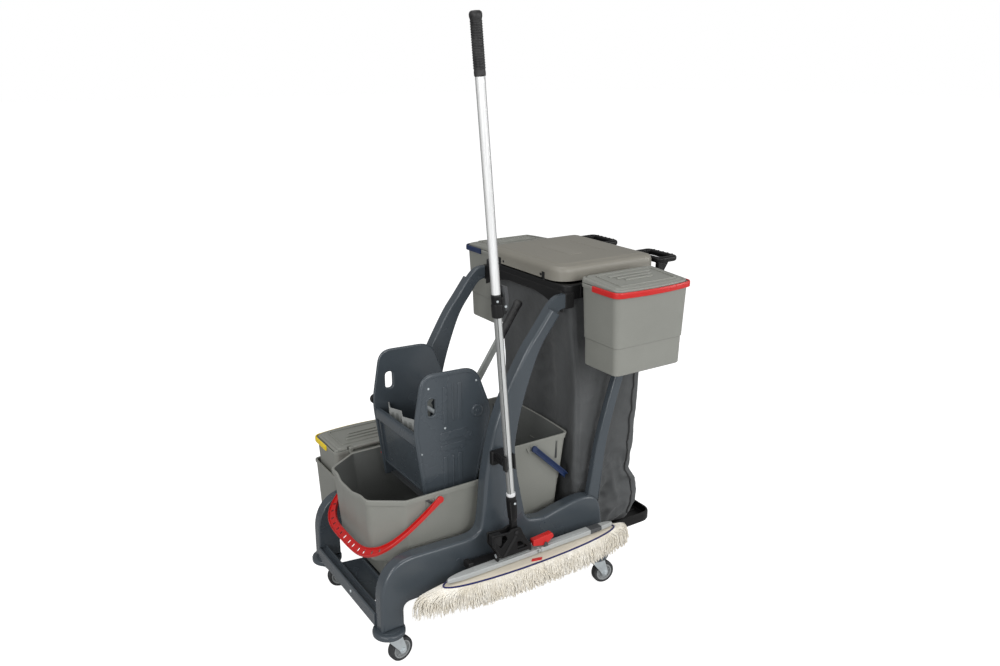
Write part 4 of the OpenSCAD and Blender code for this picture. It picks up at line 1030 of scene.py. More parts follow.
m = Mesh()
m.slab(rp([(150, 602), (152, 600), (168, 600), (168, 632), (150, 632)], [2, 2, 3, 4, 6], 4), -129.5, 129.5, "y", 0.6, 2)
m.slab(rp([(178, 450), (183, 450), (168, 602), (162, 602)], [1.5, 1.5, 1, 1], 3), -129.5, 129.5, "y", 0.6, 2)
for y in (-120, 120):
    m.slab(rp([(172, 452), (180, 452), (166, 602), (156, 602)], 2, 3), y - 6, y + 6, "y", 1.0, 2)
m.slab(rp([(174, 450), (184, 450), (183.4, 458), (173.4, 458)], 1.5, 3), -129.5, 129.5, "y", 0.6, 2)
m.done("wringer_front_bar", SLATE, "wringer", ["wringer_front"], "slate_plastic")

m = Mesh()
m.slab(rp([(333, 404), (338.5, 404), (384, 596), (378.5, 596)], 1.4, 3), -129.5, 129.5, "y", 0.6, 2)
m.slab(rp([(348, 476.6), (379, 476.6), (381, 478), (381, 481), (350, 481)], 1.0, 3), -110, 110, "y", 1.0, 2)
for y in (-84, -42, 0, 42, 84):
    m.slab(rp([(340, 410), (343, 410), (386, 592), (382, 592)], 1.0, 3), y - 3, y + 3, "y", 0.8, 2)
m.done("wringer_back_plate", SLATE, "wringer", ["wringer_back"], "slate_plastic")

# corrugated sieve: upright folds with drain slots painted on as dark boxes, lighter grey in the top row, and the bottom
# grid in dark grey that paints the shade under the wringer
m = Mesh()
FOLD = 84.0  # three folds, their flanks slit for the water


def fold_x(y, z):
    ph = ((y + 126) / FOLD) % 1.0
    return lerp(195, 185, (z - 405) / 251) + (abs(ph - 0.5) * 2 - 0.5) * 17


ys = [-126 + FOLD * i / 2 for i in range(7)]
rows = []
for z in (462, 520, 580, 643, 644.5):
    rows.append([(fold_x(y + 0.001 * (1 if y < 126 else -1), z) + 1.7, y, z) for y in ys] + [(fold_x(y + 0.001 * (1 if y < 126 else -1), z) - 1.7, y, z) for y in ys[::-1]])
m.loft(rows)
for i in range(6):
    for z, h in ((476, 56), (540, 56), (604, 30)):
        for f0, f1 in ((0.20, 0.42), (0.58, 0.80)):
            ya, yb = lerp(ys[i], ys[i + 1], f0), lerp(ys[i], ys[i + 1], f1)
            slit = [(fold_x(y, zz) - 2.2 * sg, y, zz) for sg in (1, -1) for y, zz in ((ya, z), (yb, z), (yb, z + h), (ya, z + h))]
            # painted shade: each slot is a dark box on the fold, not an opening
            m.add(slit, [[0, 1, 2, 3], [7, 6, 5, 4], [0, 4, 5, 1], [1, 5, 6, 2], [2, 6, 7, 3], [3, 7, 4, 0]], 2 if z > 600 else 1)
holes = [rp(box2(x, x + 28, y - 4, y + 4), 3.5, 3) for y in range(-110, 111, 22) for x in (214, 254, 294)]
# the grid's dark grey paints the shade it sits in
m.slab(rp(box2(192, 332, -126, 126), 3, 3), 405, 411, "z", 1.0, 2, holes=holes, mat=1)
m.done("wringer_sieve_plate", [PALE, DARK, LGREY], "wringer", ["wringer_sieve"], "light_grey_plastic")

m = Mesh()
for s in (-1, 1):
    m.revolve([(9.3, 127), (12.9, 127), (12.9, 137.2), (20, 137.2), (20, 139.4), (18.6, 141.2), (15, 142), (13.5, 141.2), (6, 141.4), (5, 142.4), (0, 142.6)], (LS[0], 0, LS[1]), (0, s, 0), 40)
    m.revolve([(7.3, 127), (10.9, 127), (10.9, 137.2), (14, 137.2), (14, 139.4), (13, 140.6), (10, 141), (0, 141)], (JS[0], 0, JS[1]), (0, s, 0), 36)
m.done("wringer_bush_set", [SLATE], "wringer", ["wringer_bushes"], "slate_plastic")


def screw(m, o, ax, r=4.0, h=2.2, mat=0):
    """Domed screw head."""
    m.revolve([(0, 0), (r, 0), (r, h * 0.35), (r * 0.82, h * 0.8), (r * 0.5, h), (r * 0.18, h * 1.02), (0, h * 1.02)], o, ax, 20, mat)
    return m


m = Mesh()
for s in (-1, 1):
    for x, z in ((193, 773), (350, 768), (244, 642), (166, 578)):
        screw(m, (x, s * 136.8, z), (0, s, 0), 4.0, 2.4)
m.done("wringer_screw_set", ZINC, "wringer", ["wringer_screws"], "zinc_steel")

m = Mesh()
m.revolve([(0, 137), (7, 137), (7, 142), (11, 142.4), (15, 144), (15, 156), (13.4, 159), (10, 160), (6, 159), (0, 159)], (160, 0, 655), (0, 1, 0), 48)
for i in range(12):
    a = 2 * math.pi * i / 12
    m.tube([(160 + 14.4 * math.cos(a), 144.5, 655 + 14.4 * math.sin(a)), (160 + 14.4 * math.cos(a), 150, 655 + 14.4 * math.sin(a)), (160 + 14.4 * math.cos(a), 156, 655 + 14.4 * math.sin(a))], 1.3, 8)
m.done("wringer_knob_head", BLACK, "wringer", ["wringer_knob"], "black_plastic")

# lever: flat bar with raised edges, hub and ribbed grip
la = math.radians(34)


def lev(q):
    x, y, z = q
    return np.array([LS[0] + x * math.cos(la) + z * math.sin(la), y - 70, LS[1] - x * math.sin(la) + z * math.cos(la)])


m = Mesh()
m.slab(rp([(-12, -14), (12, -14), (11, 240), (-11, 240)], [9, 9, 3, 3], 6), -4, 4, "y", 1.8, 3)
for x in (-9.4, 6.4):
    m.slab(rp([(x, 20), (x + 3, 20), (x + 3, 222), (x, 222)], 1.2, 3), -5.2, 5.2, "y", 1.0, 2)
m.revolve([(9.1, -9), (15, -9), (17, -7), (17, 7), (15, 9), (9.1, 9)], (0, 0, 0), (0, 1, 0), 40, closed=True)
m.moved(lev).done("lever_bar_flat", LGREY, "lever", ["lever_bar"], "light_grey_plastic")
m = Mesh()
prof = [(0, 222.5), (11.6, 222.5), (13.4, 224.5), (13.4, 229), (12.4, 231)]
for i in range(16):
    h = 234 + i * 5.6
    prof += [(12.4, h), (13.1, h + 1.2), (13.1, h + 3.2), (12.4, h + 4.4)]
prof += [(12.6, 328), (13.8, 332), (14, 338), (12.6, 343), (9, 346), (4, 347), (0, 347)]
m.revolve(prof, (0, 0, 0), (0, 0, 1), 30)
m.moved(lev).done("lever_grip_sleeve", GRIP, "lever", ["lever_grip"], "black_plastic")

# ------------------------------------------------------------------ casters
for k, (x, y, a) in CP.items():
    t = math.radians(a)

    def turn(q, x=x, y=y, t=t):
        return np.array([x + q[0] * math.cos(t) - q[1] * math.sin(t), y + q[0] * math.sin(t) + q[1] * math.cos(t), q[2]])

    m = Mesh()
    m.revolve([(0, 95), (21, 95), (23, 96), (23, 98.6), (21.6, 100), (20.6, 100.2), (21.6, 100.8), (23, 101.8), (22.6, 103.6), (0, 104)], (0, 0, 0), (0, 0, 1), 40)
    m.slab(rp(box2(-18, 31, -17, 17), 7, 4), 88, 96, "z", 1.6, 3)
    leg = rp([(-18, 94), (31, 94), (48, 40), (44, 26.5), (28, 26.5), (23.5, 40)], [3, 5, 10, 7, 7, 12], 6)
    for s in (-1, 1):
        lo, hi = sorted((s * 14.5, s * 17))
        m.slab(leg, lo, hi, "y", 0.7, 2, holes=[circle2(36, 37.5, 5.02, 24)])
        m.slab(rp([(-10, 88), (22, 88), (31, 60), (25, 52), (8, 72)], 5, 4), *sorted((s * 16.8, s * 18.0)), "y", 0.6, 2)
        m.revolve([(0, 17), (8.2, 17), (8.6, 17.8), (8.6, 20.2), (7.4, 21), (5, 21.2), (5, 22.4), (4, 23), (0, 23)], (36, 0, 37.5), (0, s, 0), 6)
    m.revolve([(0, -17), (5, -17), (5, 17), (0, 17)], (36, 0, 37.5), (0, 1, 0), 24)
    m.revolve([(0, 100), (5.5, 100), (5.5, 143), (4.8, 144), (0, 144)], (0, 0, 0), (0, 0, 1), 24)
    m.moved(turn).done(f"caster_fork_{k}_shell", ZINC, f"caster_{k}", [f"caster_fork_{k}"], "zinc_steel")
    m = Mesh()
    tyre = [(27.6, -11), (29, -11.8), (33, -12), (35.6, -11), (37, -8.6), (37.5, -4), (37.5, 4), (37, 8.6), (35.6, 11), (33, 12), (29, 11.8), (27.6, 11)]
    m.revolve(tyre, (36, 0, 37.5), (0, 1, 0), 64, 0, closed=True)
    hub = [(5.1, -13.4), (9, -13.4), (11, -12.6), (11.6, -8), (20, -6.4), (22, -7), (23.4, -10.8), (24.4, -11.4), (27.8, -11.2), (27.8, 11.2), (24.4, 11.4), (23.4, 10.8), (22, 7), (20, 6.4), (11.6, 8), (11, 12.6), (9, 13.4), (5.1, 13.4)]
    m.revolve(hub, (36, 0, 37.5), (0, 1, 0), 56, 1, closed=True)
    for i in range(5):
        b = 2 * math.pi * i / 5 + 0.3
        c0, s0 = math.cos(b), math.sin(b)
        for sg in (-1, 1):
            m.tube([(36 + r * c0, sg * (8.2 if r < 16 else 7.4), 37.5 + r * s0) for r in (11, 15, 19, 22.6)], 1.8, 8, 1)
    m.moved(turn).done(f"caster_wheel_{k}_shell", [TYRE, WHEEL], f"wheel_{k}", [f"caster_wheel_{k}"], "tyre_rubber")

# ------------------------------------------------------------------ mop
ml = math.radians(4.7)
MJ = np.array([364.0, -314.0, 360.0])


def mop(q):
    x, y, z = q
    return MJ + np.array([x * math.cos(ml) - z * math.sin(ml), y, x * math.sin(ml) + z * math.cos(ml)])


m = Mesh()
prof = [(0, 1388), (12.55, 1388), (12.55, 1258), (13.0, 1258), (14.2, 1260), (14.6, 1268), (13.8, 1272)]
for i in range(19):
    h = 1275 + i * 5.8
    prof += [(13.9, h), (15.0, h + 1.4), (15.0, h + 3.4), (13.9, h + 4.8)]
prof += [(14.6, 1388), (15.8, 1392), (16, 1398), (14.4, 1403), (10, 1406), (0, 1406.5)]
m.revolve(prof, (0, 0, 0), (0, 0, 1), 32)
m.moved(mop).done("mop_grip_sleeve", GRIP, "mop_upper", ["mop_grip"], "black_plastic")
m = Mesh()
m.revolve([(11.4, 662), (12.3, 662), (12.5, 662.6), (12.5, 1386), (11.4, 1387)], (0, 0, 0), (0, 0, 1), 40, closed=True)
m.moved(mop).done("mop_upper_tube_skin", SILVER, "mop_upper", ["mop_upper_tube"], "aluminium_tube")
m = Mesh()
m.revolve([(10.0, 44), (11.0, 44), (11.0, 1009.4), (10.7, 1010), (10.0, 1010)], (0, 0, 0), (0, 0, 1), 72, closed=True)
# a dark line along the tube paints the shade of a drawn groove, and a lighter band beside it is a painted highlight
for i in range(len(m.m)):
    a = (i % 72) * 5 + 2.5
    a = a - 360 if a > 180 else a
    m.m[i] = 3 if -39 < a < -31 else 2 if -29 < a < 22 else 0
m.revolve([(11.02, 114), (12.6, 114), (13.0, 115), (13.0, 122), (12.4, 123.4), (11.02, 124)], (0, 0, 0), (0, 0, 1), 36, 1, closed=True)
m.moved(mop).done("mop_lower_tube_skin", [ALU, WHITE, HIGHLIGHT_BAND_PAINTED, GROOVE_SHADE_PAINTED], "mop_handle", ["mop_lower_tube"], "aluminium_tube")
m = Mesh()
m.revolve([(11.4, 650), (14.2, 650), (15.6, 651.5), (16, 654), (16, 684), (15.2, 686), (14.4, 687), (14.6, 708), (13.8, 712), (12.55, 713.5), (12.55, 662), (11.4, 662)], (0, 0, 0), (0, 0, 1), 40, closed=True)
m.slab(rp([(8, 656), (20, 656), (25, 668), (24, 696), (14, 706), (8, 706)], [2, 5, 6, 6, 4, 2], 4), -13, 5, "y", 2.4, 3)
# grey flip lever, hinged low and lying up along the sleeve
m.slab(rp([(15, 664), (26, 668), (30, 690), (28, 730), (13.4, 737), (13.2, 722), (15, 700)], [2, 4, 8, 5, 4, 4, 4], 5), -14.5, 1.0, "y", 2.2, 4, mat=1)
m.revolve([(0, -15.5), (3.2, -15.5), (3.6, -14.6), (3.6, 5.6), (3.2, 6.5), (0, 6.5)], (18, 0, 678), (0, 1, 0), 18, 2)
m.revolve([(0, 0), (3.4, 0), (3.0, 1.4), (0, 1.8)], (-6.0, -14.4, 697), (-0.38, -0.92, 0), 14, 2)
m.moved(mop).done("mop_collar_clamp", [BLACK, DARK, ZINC], "mop_upper", ["mop_collar"], "black_plastic")
m = Mesh()
m.revolve([(11.1, 44), (11.1, 114), (13.2, 114), (14.4, 112.5), (14.5, 108), (13.6, 96), (13.2, 70), (12.2, 46), (10.6, 34), (9, 30), (0, 30), (0, 44)], (0, 0, 0), (0, 0, 1), 36)
m.slab(rp([(-9, 40), (-9.5, 6), (-7, -6), (0, -9), (7, -6), (9.5, 6), (9, 40)], [2, 5, 4, 4, 4, 5, 2], 5), -7.8, 7.8, "y", 1.4, 3, holes=[circle2(0, 0, 4.2, 22)])
for i in range(4):
    a = math.pi / 4 + i * math.pi / 2
    m.tube([(12.0 * math.cos(a), 12.0 * math.sin(a), 40), (13.6 * math.cos(a), 13.6 * math.sin(a), 72), (13.9 * math.cos(a), 13.9 * math.sin(a), 100)], 1.6, 8)
screw(m, (3.0, -13.4, 92), (0, -1, 0), 3.6, 2.2, 1)
m.moved(mop).done("mop_socket_body", [BLACK, ZINC], "mop_handle", ["mop_socket"], "black_plastic")

m = Mesh()
JX, JY, JZ, HZ = 364.0, -314.0, 360.0, 294.0
cheek = rp([(JX - 15, JZ + 13), (JX - 24, JZ + 7), (JX - 82, JZ + 12), (JX - 82, JZ - 22), (JX - 52, HZ - 4), (JX + 50, HZ - 4), (JX + 53, HZ + 4), (JX + 24, JZ - 10), (JX + 15, JZ + 13)], [6, 4, 5, 6, 5, 4, 4, 8, 6], 4)
win = [rp([(JX - 52, JZ - 36), (JX - 30, JZ - 14), (JX - 36, JZ + 1), (JX - 73, JZ + 3), (JX - 73, JZ - 16)], 4, 3), rp([(JX + 40, HZ + 8), (JX + 4, HZ + 8), (JX + 4, HZ + 34), (JX + 14, HZ + 34)], 3, 3)]
for s in (-1, 1):
    lo, hi = sorted((JY + s * 9.4, JY + s * 15.6))
    m.slab(cheek, lo, hi, "y", 1.6, 3, holes=win if s < 0 else ())
# slanting strap and edge rib on the near cheek
m.slab(rp([(JX - 46, HZ + 2), (JX - 37, HZ), (JX + 2, JZ - 14), (JX - 5, JZ - 8)], 2.5, 3), JY - 17.4, JY - 14, "y", 1.0, 2)
m.slab(rp([(JX - 81, JZ - 20), (JX - 75, JZ - 22), (JX - 50, HZ + 2), (JX - 55, HZ + 3)], 2, 3), JY - 17.0, JY - 14, "y", 1.0, 2)
m.slab(rp([(JX - 80, JZ + 9), (JX - 46, JZ + 7), (JX - 46, JZ - 30), (JX - 62, JZ - 36), (JX - 80, JZ - 21)], 2, 3), JY - 10, JY + 6, "y", 1.0, 2)
m.slab(rp([(JX - 50, HZ - 2), (JX + 50, HZ - 2), (JX + 36, HZ + 14), (JX - 36, HZ + 14)], 4, 3), JY - 10, JY + 10, "y", 1.0, 2)
for s in (-1, 1):
    m.slab(rp([(JX + s * 30, HZ + 8), (JX + s * 50, HZ + 8), (JX + s * 29, JZ - 26), (JX + s * 25, JZ - 26)], 2, 3), JY - 10, JY + 10, "y", 1.0, 2)
m.revolve([(4.2, -50), (8, -50), (9, -49), (9, 49), (8, 50), (4.2, 50)], (JX, JY, HZ), (1, 0, 0), 30, closed=True)
m.revolve([(0, -17.4), (5.6, -17.4), (6, -16.6), (6, -15.6), (4, -15.4), (4, 15.4), (6, 15.6), (6, 16.6), (5.6, 17.4), (0, 17.4)], (JX, JY, JZ), (0, 1, 0), 24, 0)
m.done("mop_yoke_body", [BLACK, ZINC], "mop_yoke", ["mop_yoke"], "black_plastic")

# frame wings: lacquered metal troughs with a rolled near edge
def wing_section(y, w, h):
    return [(y - w, 264), (y - w, 264 + h * 0.6), (y - w + 1.4, 264 + h * 0.92), (y - w + 4, 264 + h), (y + w - 4, 264 + h), (y + w - 1.4, 264 + h * 0.92), (y + w, 264 + h * 0.6), (y + w, 264)]


def wing(m, xs, mat):
    rings = []
    for x, w, h in xs:
        rings.append([(x, a, b) for a, b in wing_section(JY, w, h)])
    m.loft(rings, mat)


m = Mesh()
wing(m, [(143, 3, 8), (145, 5, 10), (152, 7, 12), (172, 10.5, 13.4), (200, 13.2, 14), (244, 14, 14), (437, 14, 14), (439, 13.4, 13.4)], 0)
m.slab(rp([(228, JY - 7), (425, JY - 7), (425, JY + 7), (228, JY + 7)], 3, 3), 277.6, 279.2, "z", 0.7, 2)
for s in (-1, 1):
    m.revolve([(3.1, -3.7), (6.4, -3.7), (7, -3.1), (7, 3.1), (6.4, 3.7), (3.1, 3.7)], (447, JY + s * 10, 271), (0, 1, 0), 26, closed=True)
    m.rbox(428, 446, JY + s * 10 - 3.7, JY + s * 10 + 3.7, 264.4, 277.6, 1.2)
for x in (303.4, 417.8):
    m.slab(rp([(JY - 7, 277), (JY + 7, 277), (JY + 6.5, 298), (JY + 3, 302), (JY - 3, 302), (JY - 6.5, 298)], [1, 1, 3, 3, 3, 3], 3), x, x + 6.4, "x", 1.0, 2, mat=1)
m.revolve([(0, 0), (6, 0), (6, 2.4), (4, 2.8), (4, 119.2), (6, 119.6), (6, 122), (0, 122)], (303, JY, HZ), (1, 0, 0), 22, 2)
# black carrier plate on the far side of the wing, under the yoke
m.slab(rp([(224, JY + 12), (300, JY + 13), (430, JY + 13), (430, JY + 42), (300, JY + 46), (228, JY + 44)], [5, 8, 3, 5, 12, 7], 4), 264.5, 278.4, "z", 2.0, 3, mat=1)
m.rbox(222, 238, JY + 14, JY + 46, 266, 288, 3.0, mat=1)
m.done("mop_wing_left_trough", [ALUP, BLACK, ZINC], "mop_frame", ["mop_wing_left"], "light_grey_plastic")
m = Mesh()
wing(m, [(455, 13.4, 13.4), (457, 14, 14), (640, 14, 14), (641, 13.4, 13.4)], 0)
wing(m, [(641, 12.8, 12.8), (642, 13.2, 13), (684, 12.4, 13), (685, 12, 12.6)], 1)
wing(m, [(685, 11.6, 12.2), (686, 12, 12.6), (710, 10, 12), (726, 7, 10.6), (733, 4.6, 9), (734, 3, 8)], 2)
m.slab(rp([(482, JY - 7), (628, JY - 7), (628, JY + 7), (482, JY + 7)], 3, 3), 277.6, 279.2, "z", 0.7, 2)
m.revolve([(0, -13.8), (3, -13.8), (3, -5.7), (6.4, -5.7), (7, -5.1), (7, 5.1), (6.4, 5.7), (3, 5.7), (3, 13.8), (0, 13.8)], (447, JY, 271), (0, 1, 0), 26)
m.rbox(448, 458, JY - 5.7, JY + 5.7, 264.6, 277.4, 1.2)
for s in (-1, 1):
    lo, hi = sorted((JY + s * 10.2, JY + s * 13.8))
    m.slab(rp([(464, 277), (480, 277), (477, 290), (472, 293), (467, 290)], [1, 1, 3, 3, 3], 3), lo, hi, "y", 0.8, 2, mat=1)
m.revolve([(0, -13.4), (2.5, -13.4), (2.5, 13.4), (0, 13.4)], (472, JY, 286), (0, 1, 0), 16, 3)
m.done("mop_wing_right_trough", [ALUP, DARK, PALE, ZINC], "mop_wing", ["mop_wing_right"], "light_grey_plastic")
m = Mesh()
m.slab(rp([(429, 289), (464, 281), (477, 281), (503, 299.5), (499, 312.5), (429, 307.5)], [3, 4, 4, 3, 5, 4], 4), JY - 9.6, JY + 9.6, "y", 2.0, 3)
m.revolve([(2.7, -9.5), (5.4, -9.5), (6, -9), (6, 9), (5.4, 9.5), (2.7, 9.5)], (472, JY, 286), (0, 1, 0), 24, closed=True)
for i in range(4):
    x = 470 + i * 7
    z = 307.5 + (x - 429) * 0.0714
    m.rbox(x - 1.2, x + 1.2, JY - 8, JY + 8, z - 2.0, z + 1.2, 0.6)
m.done("mop_pedal_red", RED, "mop_pedal", ["mop_pedal"], "red_plastic")


# pad: quilted cloth body, piping round its edge and a yarn fringe
PX = 437.5


def pad_edge(a, k=1.0):
    c, s = math.cos(a), math.sin(a)
    x = PX + 304 * k * math.copysign(abs(c) ** 0.96, c)
    y = JY + (42 if s < 0 else 42) * k * math.copysign(abs(s) ** (1.05 if s < 0 else 0.85), s)
    return x, y


def pad_body():
    m, n, rings = Mesh(), 160, []
    angs = np.linspace(0, 2 * math.pi, n, endpoint=False)
    for k, z in ((0.30, 243.0), (0.62, 243.5), (0.88, 244.5), (0.97, 247), (1.0, 251.5), (0.985, 256), (0.93, 258.6), (0.80, 260.2), (0.62, 260.8), (0.40, 261), (0.2, 261.2)):
        ring = []
        for a in angs:
            x, y = pad_edge(a, k)
            q = 1.1 * noise.noise(Vector((x * 0.02, y * 0.03, z * 0.02)))
            ring.append((x, y, z + (q - 0.4 if z > 255 else q)))
        rings.append(ring)
    m.loft(rings)
    return m


pad = pad_body().done("mop_pad_cloth", PADCLOTH, None, ["mop_pad"], "mop_fabric", angle=70)


def piping():
    m, n = Mesh(), 200
    path = [(*pad_edge(a, 1.006), 254.4) for a in np.linspace(0, 2 * math.pi, n, endpoint=False)]
    rings = []
    for i in range(n):
        t = np.array(path[(i + 1) % n]) - np.array(path[i - 1])
        t /= np.linalg.norm(t)
        u = np.cross((0, 0, 1), t)
        rings.append([tuple(np.array(path[i]) + 2.7 * (math.cos(b) * u + math.sin(b) * np.array((0, 0, 1)))) for b in np.linspace(0, 2 * math.pi, 8, endpoint=False)])
    m.loft(rings + [rings[0]], 0, False, False)
    return m


pipe = piping().done("mop_pad_piping", PIPING, None, (), "mop_fabric", angle=80, wn=False)


def fringe():
    """Cotton yarn in layers over a soft core: hanging along both sides, spreading out round both tips."""
    rnd = random.Random(11)
    m = Mesh()
    fine = [pad_edge(a) for a in np.linspace(0, 2 * math.pi, 2400, endpoint=False)]
    q = np.array(fine + [fine[0]])
    seg = np.concatenate([[0], np.cumsum(np.linalg.norm(np.diff(q, axis=0), axis=1))])
    total = seg[-1]

    def root(s):
        x, y = np.interp(s % total, seg, q[:, 0]), np.interp(s % total, seg, q[:, 1])
        x2, y2 = np.interp((s + 2) % total, seg, q[:, 0]), np.interp((s + 2) % total, seg, q[:, 1])
        t = np.array([x2 - x, y2 - y])
        t /= max(np.linalg.norm(t), 1e-6)
        nrm = np.array([t[1], -t[0]])
        if np.dot(nrm, np.array([x - PX, y - JY])) < 0:
            nrm = -nrm
        far = min(1.0, max(0.0, (y - JY) / 30))  # kept clear of the side frame
        tip = min(1.0, max(0.0, (abs(x - PX) - 215) / 85)) ** 1.2
        reach = 88 if x < PX else 56
        return x, y, t, nrm, far, tip, math.copysign(tip, x - PX) * reach

    def drop(v, tip):
        """Straight down along the sides, first outwards and then down at the tips."""
        return lerp(v, 0.10 * v + 0.90 * v ** 2.3, tip)

    rings = []
    for v in np.linspace(0, 0.86, 8):
        ring = []
        for s in np.linspace(0, total, 320, endpoint=False):
            x, y, t, nrm, far, tip, fan = root(s)
            o = (2.0 * min(1, 3 * v) + 5 * v) * (1 - far) - 2.5
            w = 2.2 * noise.noise(Vector((x * 0.05, y * 0.05, v * 2.0))) * v
            ring.append((x + nrm[0] * (o + w) + 0.80 * fan * (1 - (1 - v) ** 3.6), min(y + nrm[1] * (o + w), -255.5), 250 - 68 * drop(v, tip) + 3 * noise.noise(Vector((x * 0.03, y * 0.03, 3.0))) * v))
        rings.append(ring)
    m.loft(rings, 0, False, True)
    for layer, (step, z0, dz, out, rad) in enumerate(((2.0, 253.0, 62, 1.0, 1.15), (2.1, 251.0, 65, 0.86, 1.2), (2.3, 249.0, 67, 0.68, 1.25), (2.8, 247.0, 67, 0.45, 1.35))):
        s = rnd.random() * step
        while s < total:
            x, y, t, nrm, far, tip, fan = root(s)
            fan *= (0.50 + 0.50 * out) * rnd.uniform(0.84, 1.06)
            length = dz + rnd.uniform(-9, 7) + 9 * noise.noise(Vector((x * 0.035, y * 0.03, 5.0 + layer)))
            lean = (8 + rnd.uniform(-3, 6)) * out * (1 - far) * (1 - 0.5 * tip) + rnd.uniform(-1.5, 1.5) * (1 - far)
            side = rnd.gauss(0, 3.2) + 7 * noise.noise(Vector((x * 0.014, y * 0.02, 9.0)))
            wav, p0, fq = rnd.uniform(0.8, 2.6), rnd.uniform(0, 6.28), rnd.uniform(7, 15)
            hook = rnd.uniform(-9, 9) * (1 if rnd.random() < 0.4 else 0.2)
            path = []
            for k in range(12):
                v = k / 11
                o = 2.6 * math.sin(min(v * 3, 1) * math.pi / 2) * out * (1 - far) + lean * v ** 1.3 + 0.7 * wav * math.cos(p0 + fq * v) * min(1, 2 * v) * (1 - far)
                sd = side * v ** 1.4 + wav * math.sin(p0 + fq * v) * min(1, 2.5 * v) + hook * max(0.0, v - 0.72) * 2.5
                zz = z0 - length * drop(v, tip) + abs(hook) * max(0.0, v - 0.85) * 1.5
                path.append((x + nrm[0] * o + t[0] * sd + fan * (1 - (1 - v) ** 3.6), min(y + nrm[1] * o + t[1] * sd, -252.6), max(zz, 166.5)))
            r0 = rad * rnd.uniform(0.8, 1.15)
            m.tube(path, [r0 * (1 + 0.10 * math.sin(p0 + 2.4 * k)) for k in range(11)] + [r0 * 0.6], 5, 0)
            s += step * rnd.uniform(0.75, 1.3)
    return m


fr = fringe().done("mop_fringe_yarn", YARN, None, (), "mop_fabric", angle=80, wn=False)
m = Mesh()
m.slab(rp([(404, JY - 34), (438, JY - 40), (446, JY - 31), (414, JY - 23)], 3, 3), 256.5, 261.0, "z", 1.0, 2)
tab = m.done("mop_pad_tab", RED, None, (), "red_plastic")
for o in (pad, pipe, fr, tab):
    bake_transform(o)

# ------------------------------------------------------------------ handle clips and small metal
def clip_u(r=11.3):
    m = Mesh()
    arc = [(r * math.cos(a), r * math.sin(a)) for a in np.linspace(0, math.pi, 19)]
    inner = [(r, -11)] + arc + [(-r, -11)]
    out = [((r + 6) * math.cos(a), (r + 6) * math.sin(a)) for a in np.linspace(math.pi, 0, 19)]
    outline = inner + [(-r - 2, -14), (-r - 6, -11)] + out + [(r + 6, -11), (r + 2, -14)]
    m.slab(outline, -23, 23, "z", 1.4, 3)
    m.rbox(-13, 13, 13.5, 60, -16, 16, 2.5)
    for z in (-10, 0, 10):
        m.rbox(-14.4, 14.4, 20, 52, z - 1.6, z + 1.6, 0.8)
    return m


m = clip_u().moved(lambda q: mop((q[0], q[1], q[2] + 221)))
m.rbox(324, 372, -264, -247, 552, 594, 4.0, 6.0)
far = clip_u().moved(lambda q: np.array([378 + q[0], -314 + q[1], 580 + q[2]]))
far.rbox(354, 402, -264, -247, 552, 594, 4.0, 6.0)
m.join(far.mirror_y())
m.done("handle_clip_pair", BLACK, "chassis", ["mop_clips"], "black_plastic")

m = Mesh()
for x in (150, 700):
    for y in (-150, 150):
        screw(m, (x, y, 146), (0, 0, -1), 5, 3)
screw(m, (-33.8, -43, 150), (-1, 0, 0), 5, 3)
m.done("frame_screw_set", ZINC, "chassis", ["frame_screws"], "zinc_steel")

# hidden or plain CAD nodes keep their shape and get a finish
for node, mat in (("lever_shaft", ZINC), ("jaw_shaft", ZINC), ("return_spring", ZINC), ("lid_hinge_pins", ZINC), ("press_jaw", LGREY)):
    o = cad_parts[node]
    o.data.materials.clear()
    o.data.materials.append(mat)

# waste bag: zip along the rear near edge, then thickness
def zip_strip():
    m = Mesh()
    pts = []
    for z in np.linspace(190, 980, 80):
        k = min(range(len(bag_rings)), key=lambda i: abs(bag_rings[i][0][2] - z))
        ring = np.array(bag_rings[k])
        x0, x1, hw = bag_at(z)
        want = np.array([x1 - 34, -hw])
        q = ring[np.argmin(np.linalg.norm(ring[:, :2] - want, axis=1))]
        pts.append((q[0] + 1.2 * math.sin(z * 0.09), q[1] - 1.2, z))
    m.tube(pts, 2.6, 8, 0)
    return m


bpy.context.view_layer.update()
sol = bag.modifiers.new("thickness", "SOLIDIFY")
sol.thickness, sol.offset = 0.0012, -1
dg = bpy.context.evaluated_depsgraph_get()
me = bpy.data.meshes.new_from_object(bag.evaluated_get(dg))
bag.modifiers.clear()
bag.data = me
me.polygons.foreach_set("use_smooth", [True] * len(me.polygons))
zp = zip_strip().done("waste_bag_zip", ZIP, "chassis", (), "black_plastic", angle=80, wn=False)
for o in (bag, zp):
    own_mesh(o)

# ------------------------------------------------------------------ stage
floor_mat = Nodes("floor")
floor_mat.out(floor_mat.mix(floor_mat.ramp(floor_mat.noise(3.0, 2.0), 0.3, 0.7), (0.50, 0.50, 0.50, 1), (0.53, 0.53, 0.53, 1)), 0.9, None, Specular_IOR_Level=0.0, Emission_Color=(1, 1, 1, 1))
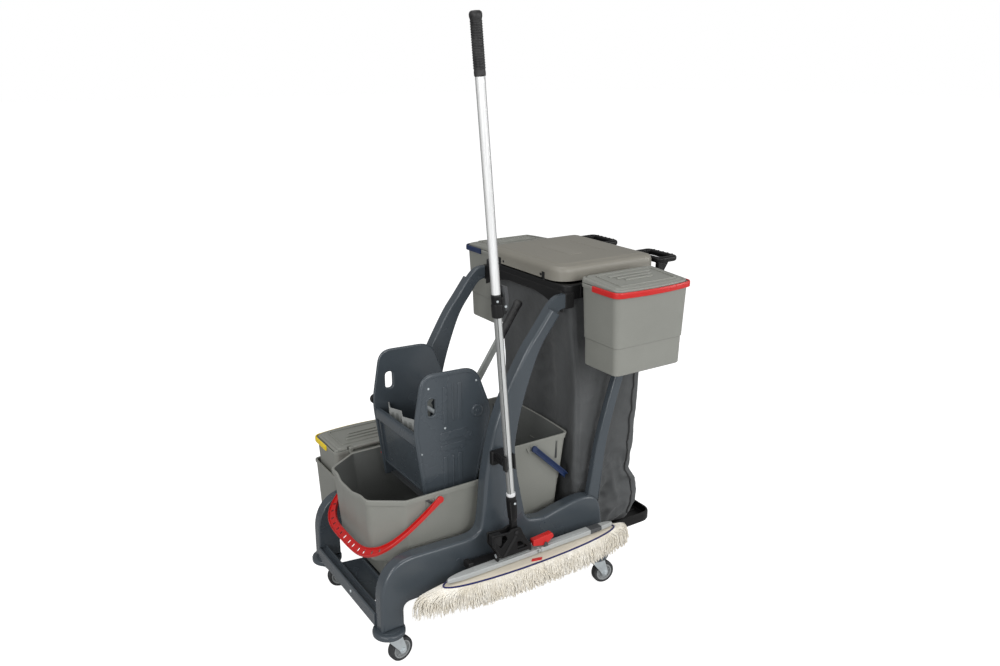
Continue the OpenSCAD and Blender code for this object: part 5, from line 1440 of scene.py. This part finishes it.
# the floor glows to the eye only, so that it stays white and keeps a faint contact shadow
fp = floor_mat.n("ShaderNodeLightPath")
floor_mat.link(floor_mat.math("MULTIPLY", fp.outputs["Is Camera Ray"], 0.90), floor_mat.bsdf.inputs["Emission Strength"])
fm = bpy.data.meshes.new("floor")
fm.from_pydata([(-40, -40, 0), (40, -40, 0), (40, 40, 0), (-40, 40, 0)], [], [(0, 1, 2, 3)])
fm.materials.append(floor_mat.mat)
floor = bpy.data.objects.new("floor", fm)
bpy.context.scene.collection.objects.link(floor)


def area_light(name, loc, target, size, power, color=(1, 1, 1)):
    d = bpy.data.lights.new(name, "AREA")
    d.shape, d.size, d.size_y, d.energy, d.color = "RECTANGLE", size[0], size[1], power, color
    o = bpy.data.objects.new(name, d)
    o.location = loc
    o.rotation_euler = (Vector(target) - Vector(loc)).to_track_quat("-Z", "Y").to_euler()
    bpy.context.scene.collection.objects.link(o)


area_light("key", (0.4, -4.4, 2.4), (0, 0, 0.5), (3.0, 2.2), 100)
area_light("side", (3.4, -2.6, 1.8), (0.1, -0.1, 0.6), (1.2, 2.6), 48)
area_light("left", (-3.6, -3.2, 1.6), (-0.3, 0, 0.4), (1.4, 1.8), 60)
area_light("left_high", (-3.0, -0.9, 3.0), (-0.35, 0, 0.4), (1.2, 1.2), 36)
area_light("top", (-0.4, 0.2, 4.4), (0, 0, 0.4), (2.0, 2.0), 34)
world = bpy.data.worlds.new("studio")
bpy.context.scene.world = world
world.use_nodes = True
world.node_tree.nodes["Background"].inputs[0].default_value = (1, 1, 1, 1)
world.node_tree.nodes["Background"].inputs[1].default_value = 0.33
# the backdrop is white to the eye, but lights the part more softly
wt = world.node_tree
lp, mx = wt.nodes.new("ShaderNodeLightPath"), wt.nodes.new("ShaderNodeMixShader")
bg2 = wt.nodes.new("ShaderNodeBackground")
bg2.inputs[0].default_value, bg2.inputs[1].default_value = (1, 1, 1, 1), 1.0
wt.links.new(lp.outputs["Is Camera Ray"], mx.inputs[0])
wt.links.new(wt.nodes["Background"].outputs[0], mx.inputs[1])
wt.links.new(bg2.outputs[0], mx.inputs[2])
wt.links.new(mx.outputs[0], wt.nodes["World Output"].inputs["Surface"])
bpy.context.scene.view_settings.view_transform = "Standard"
bpy.context.scene.view_settings.look = "None"
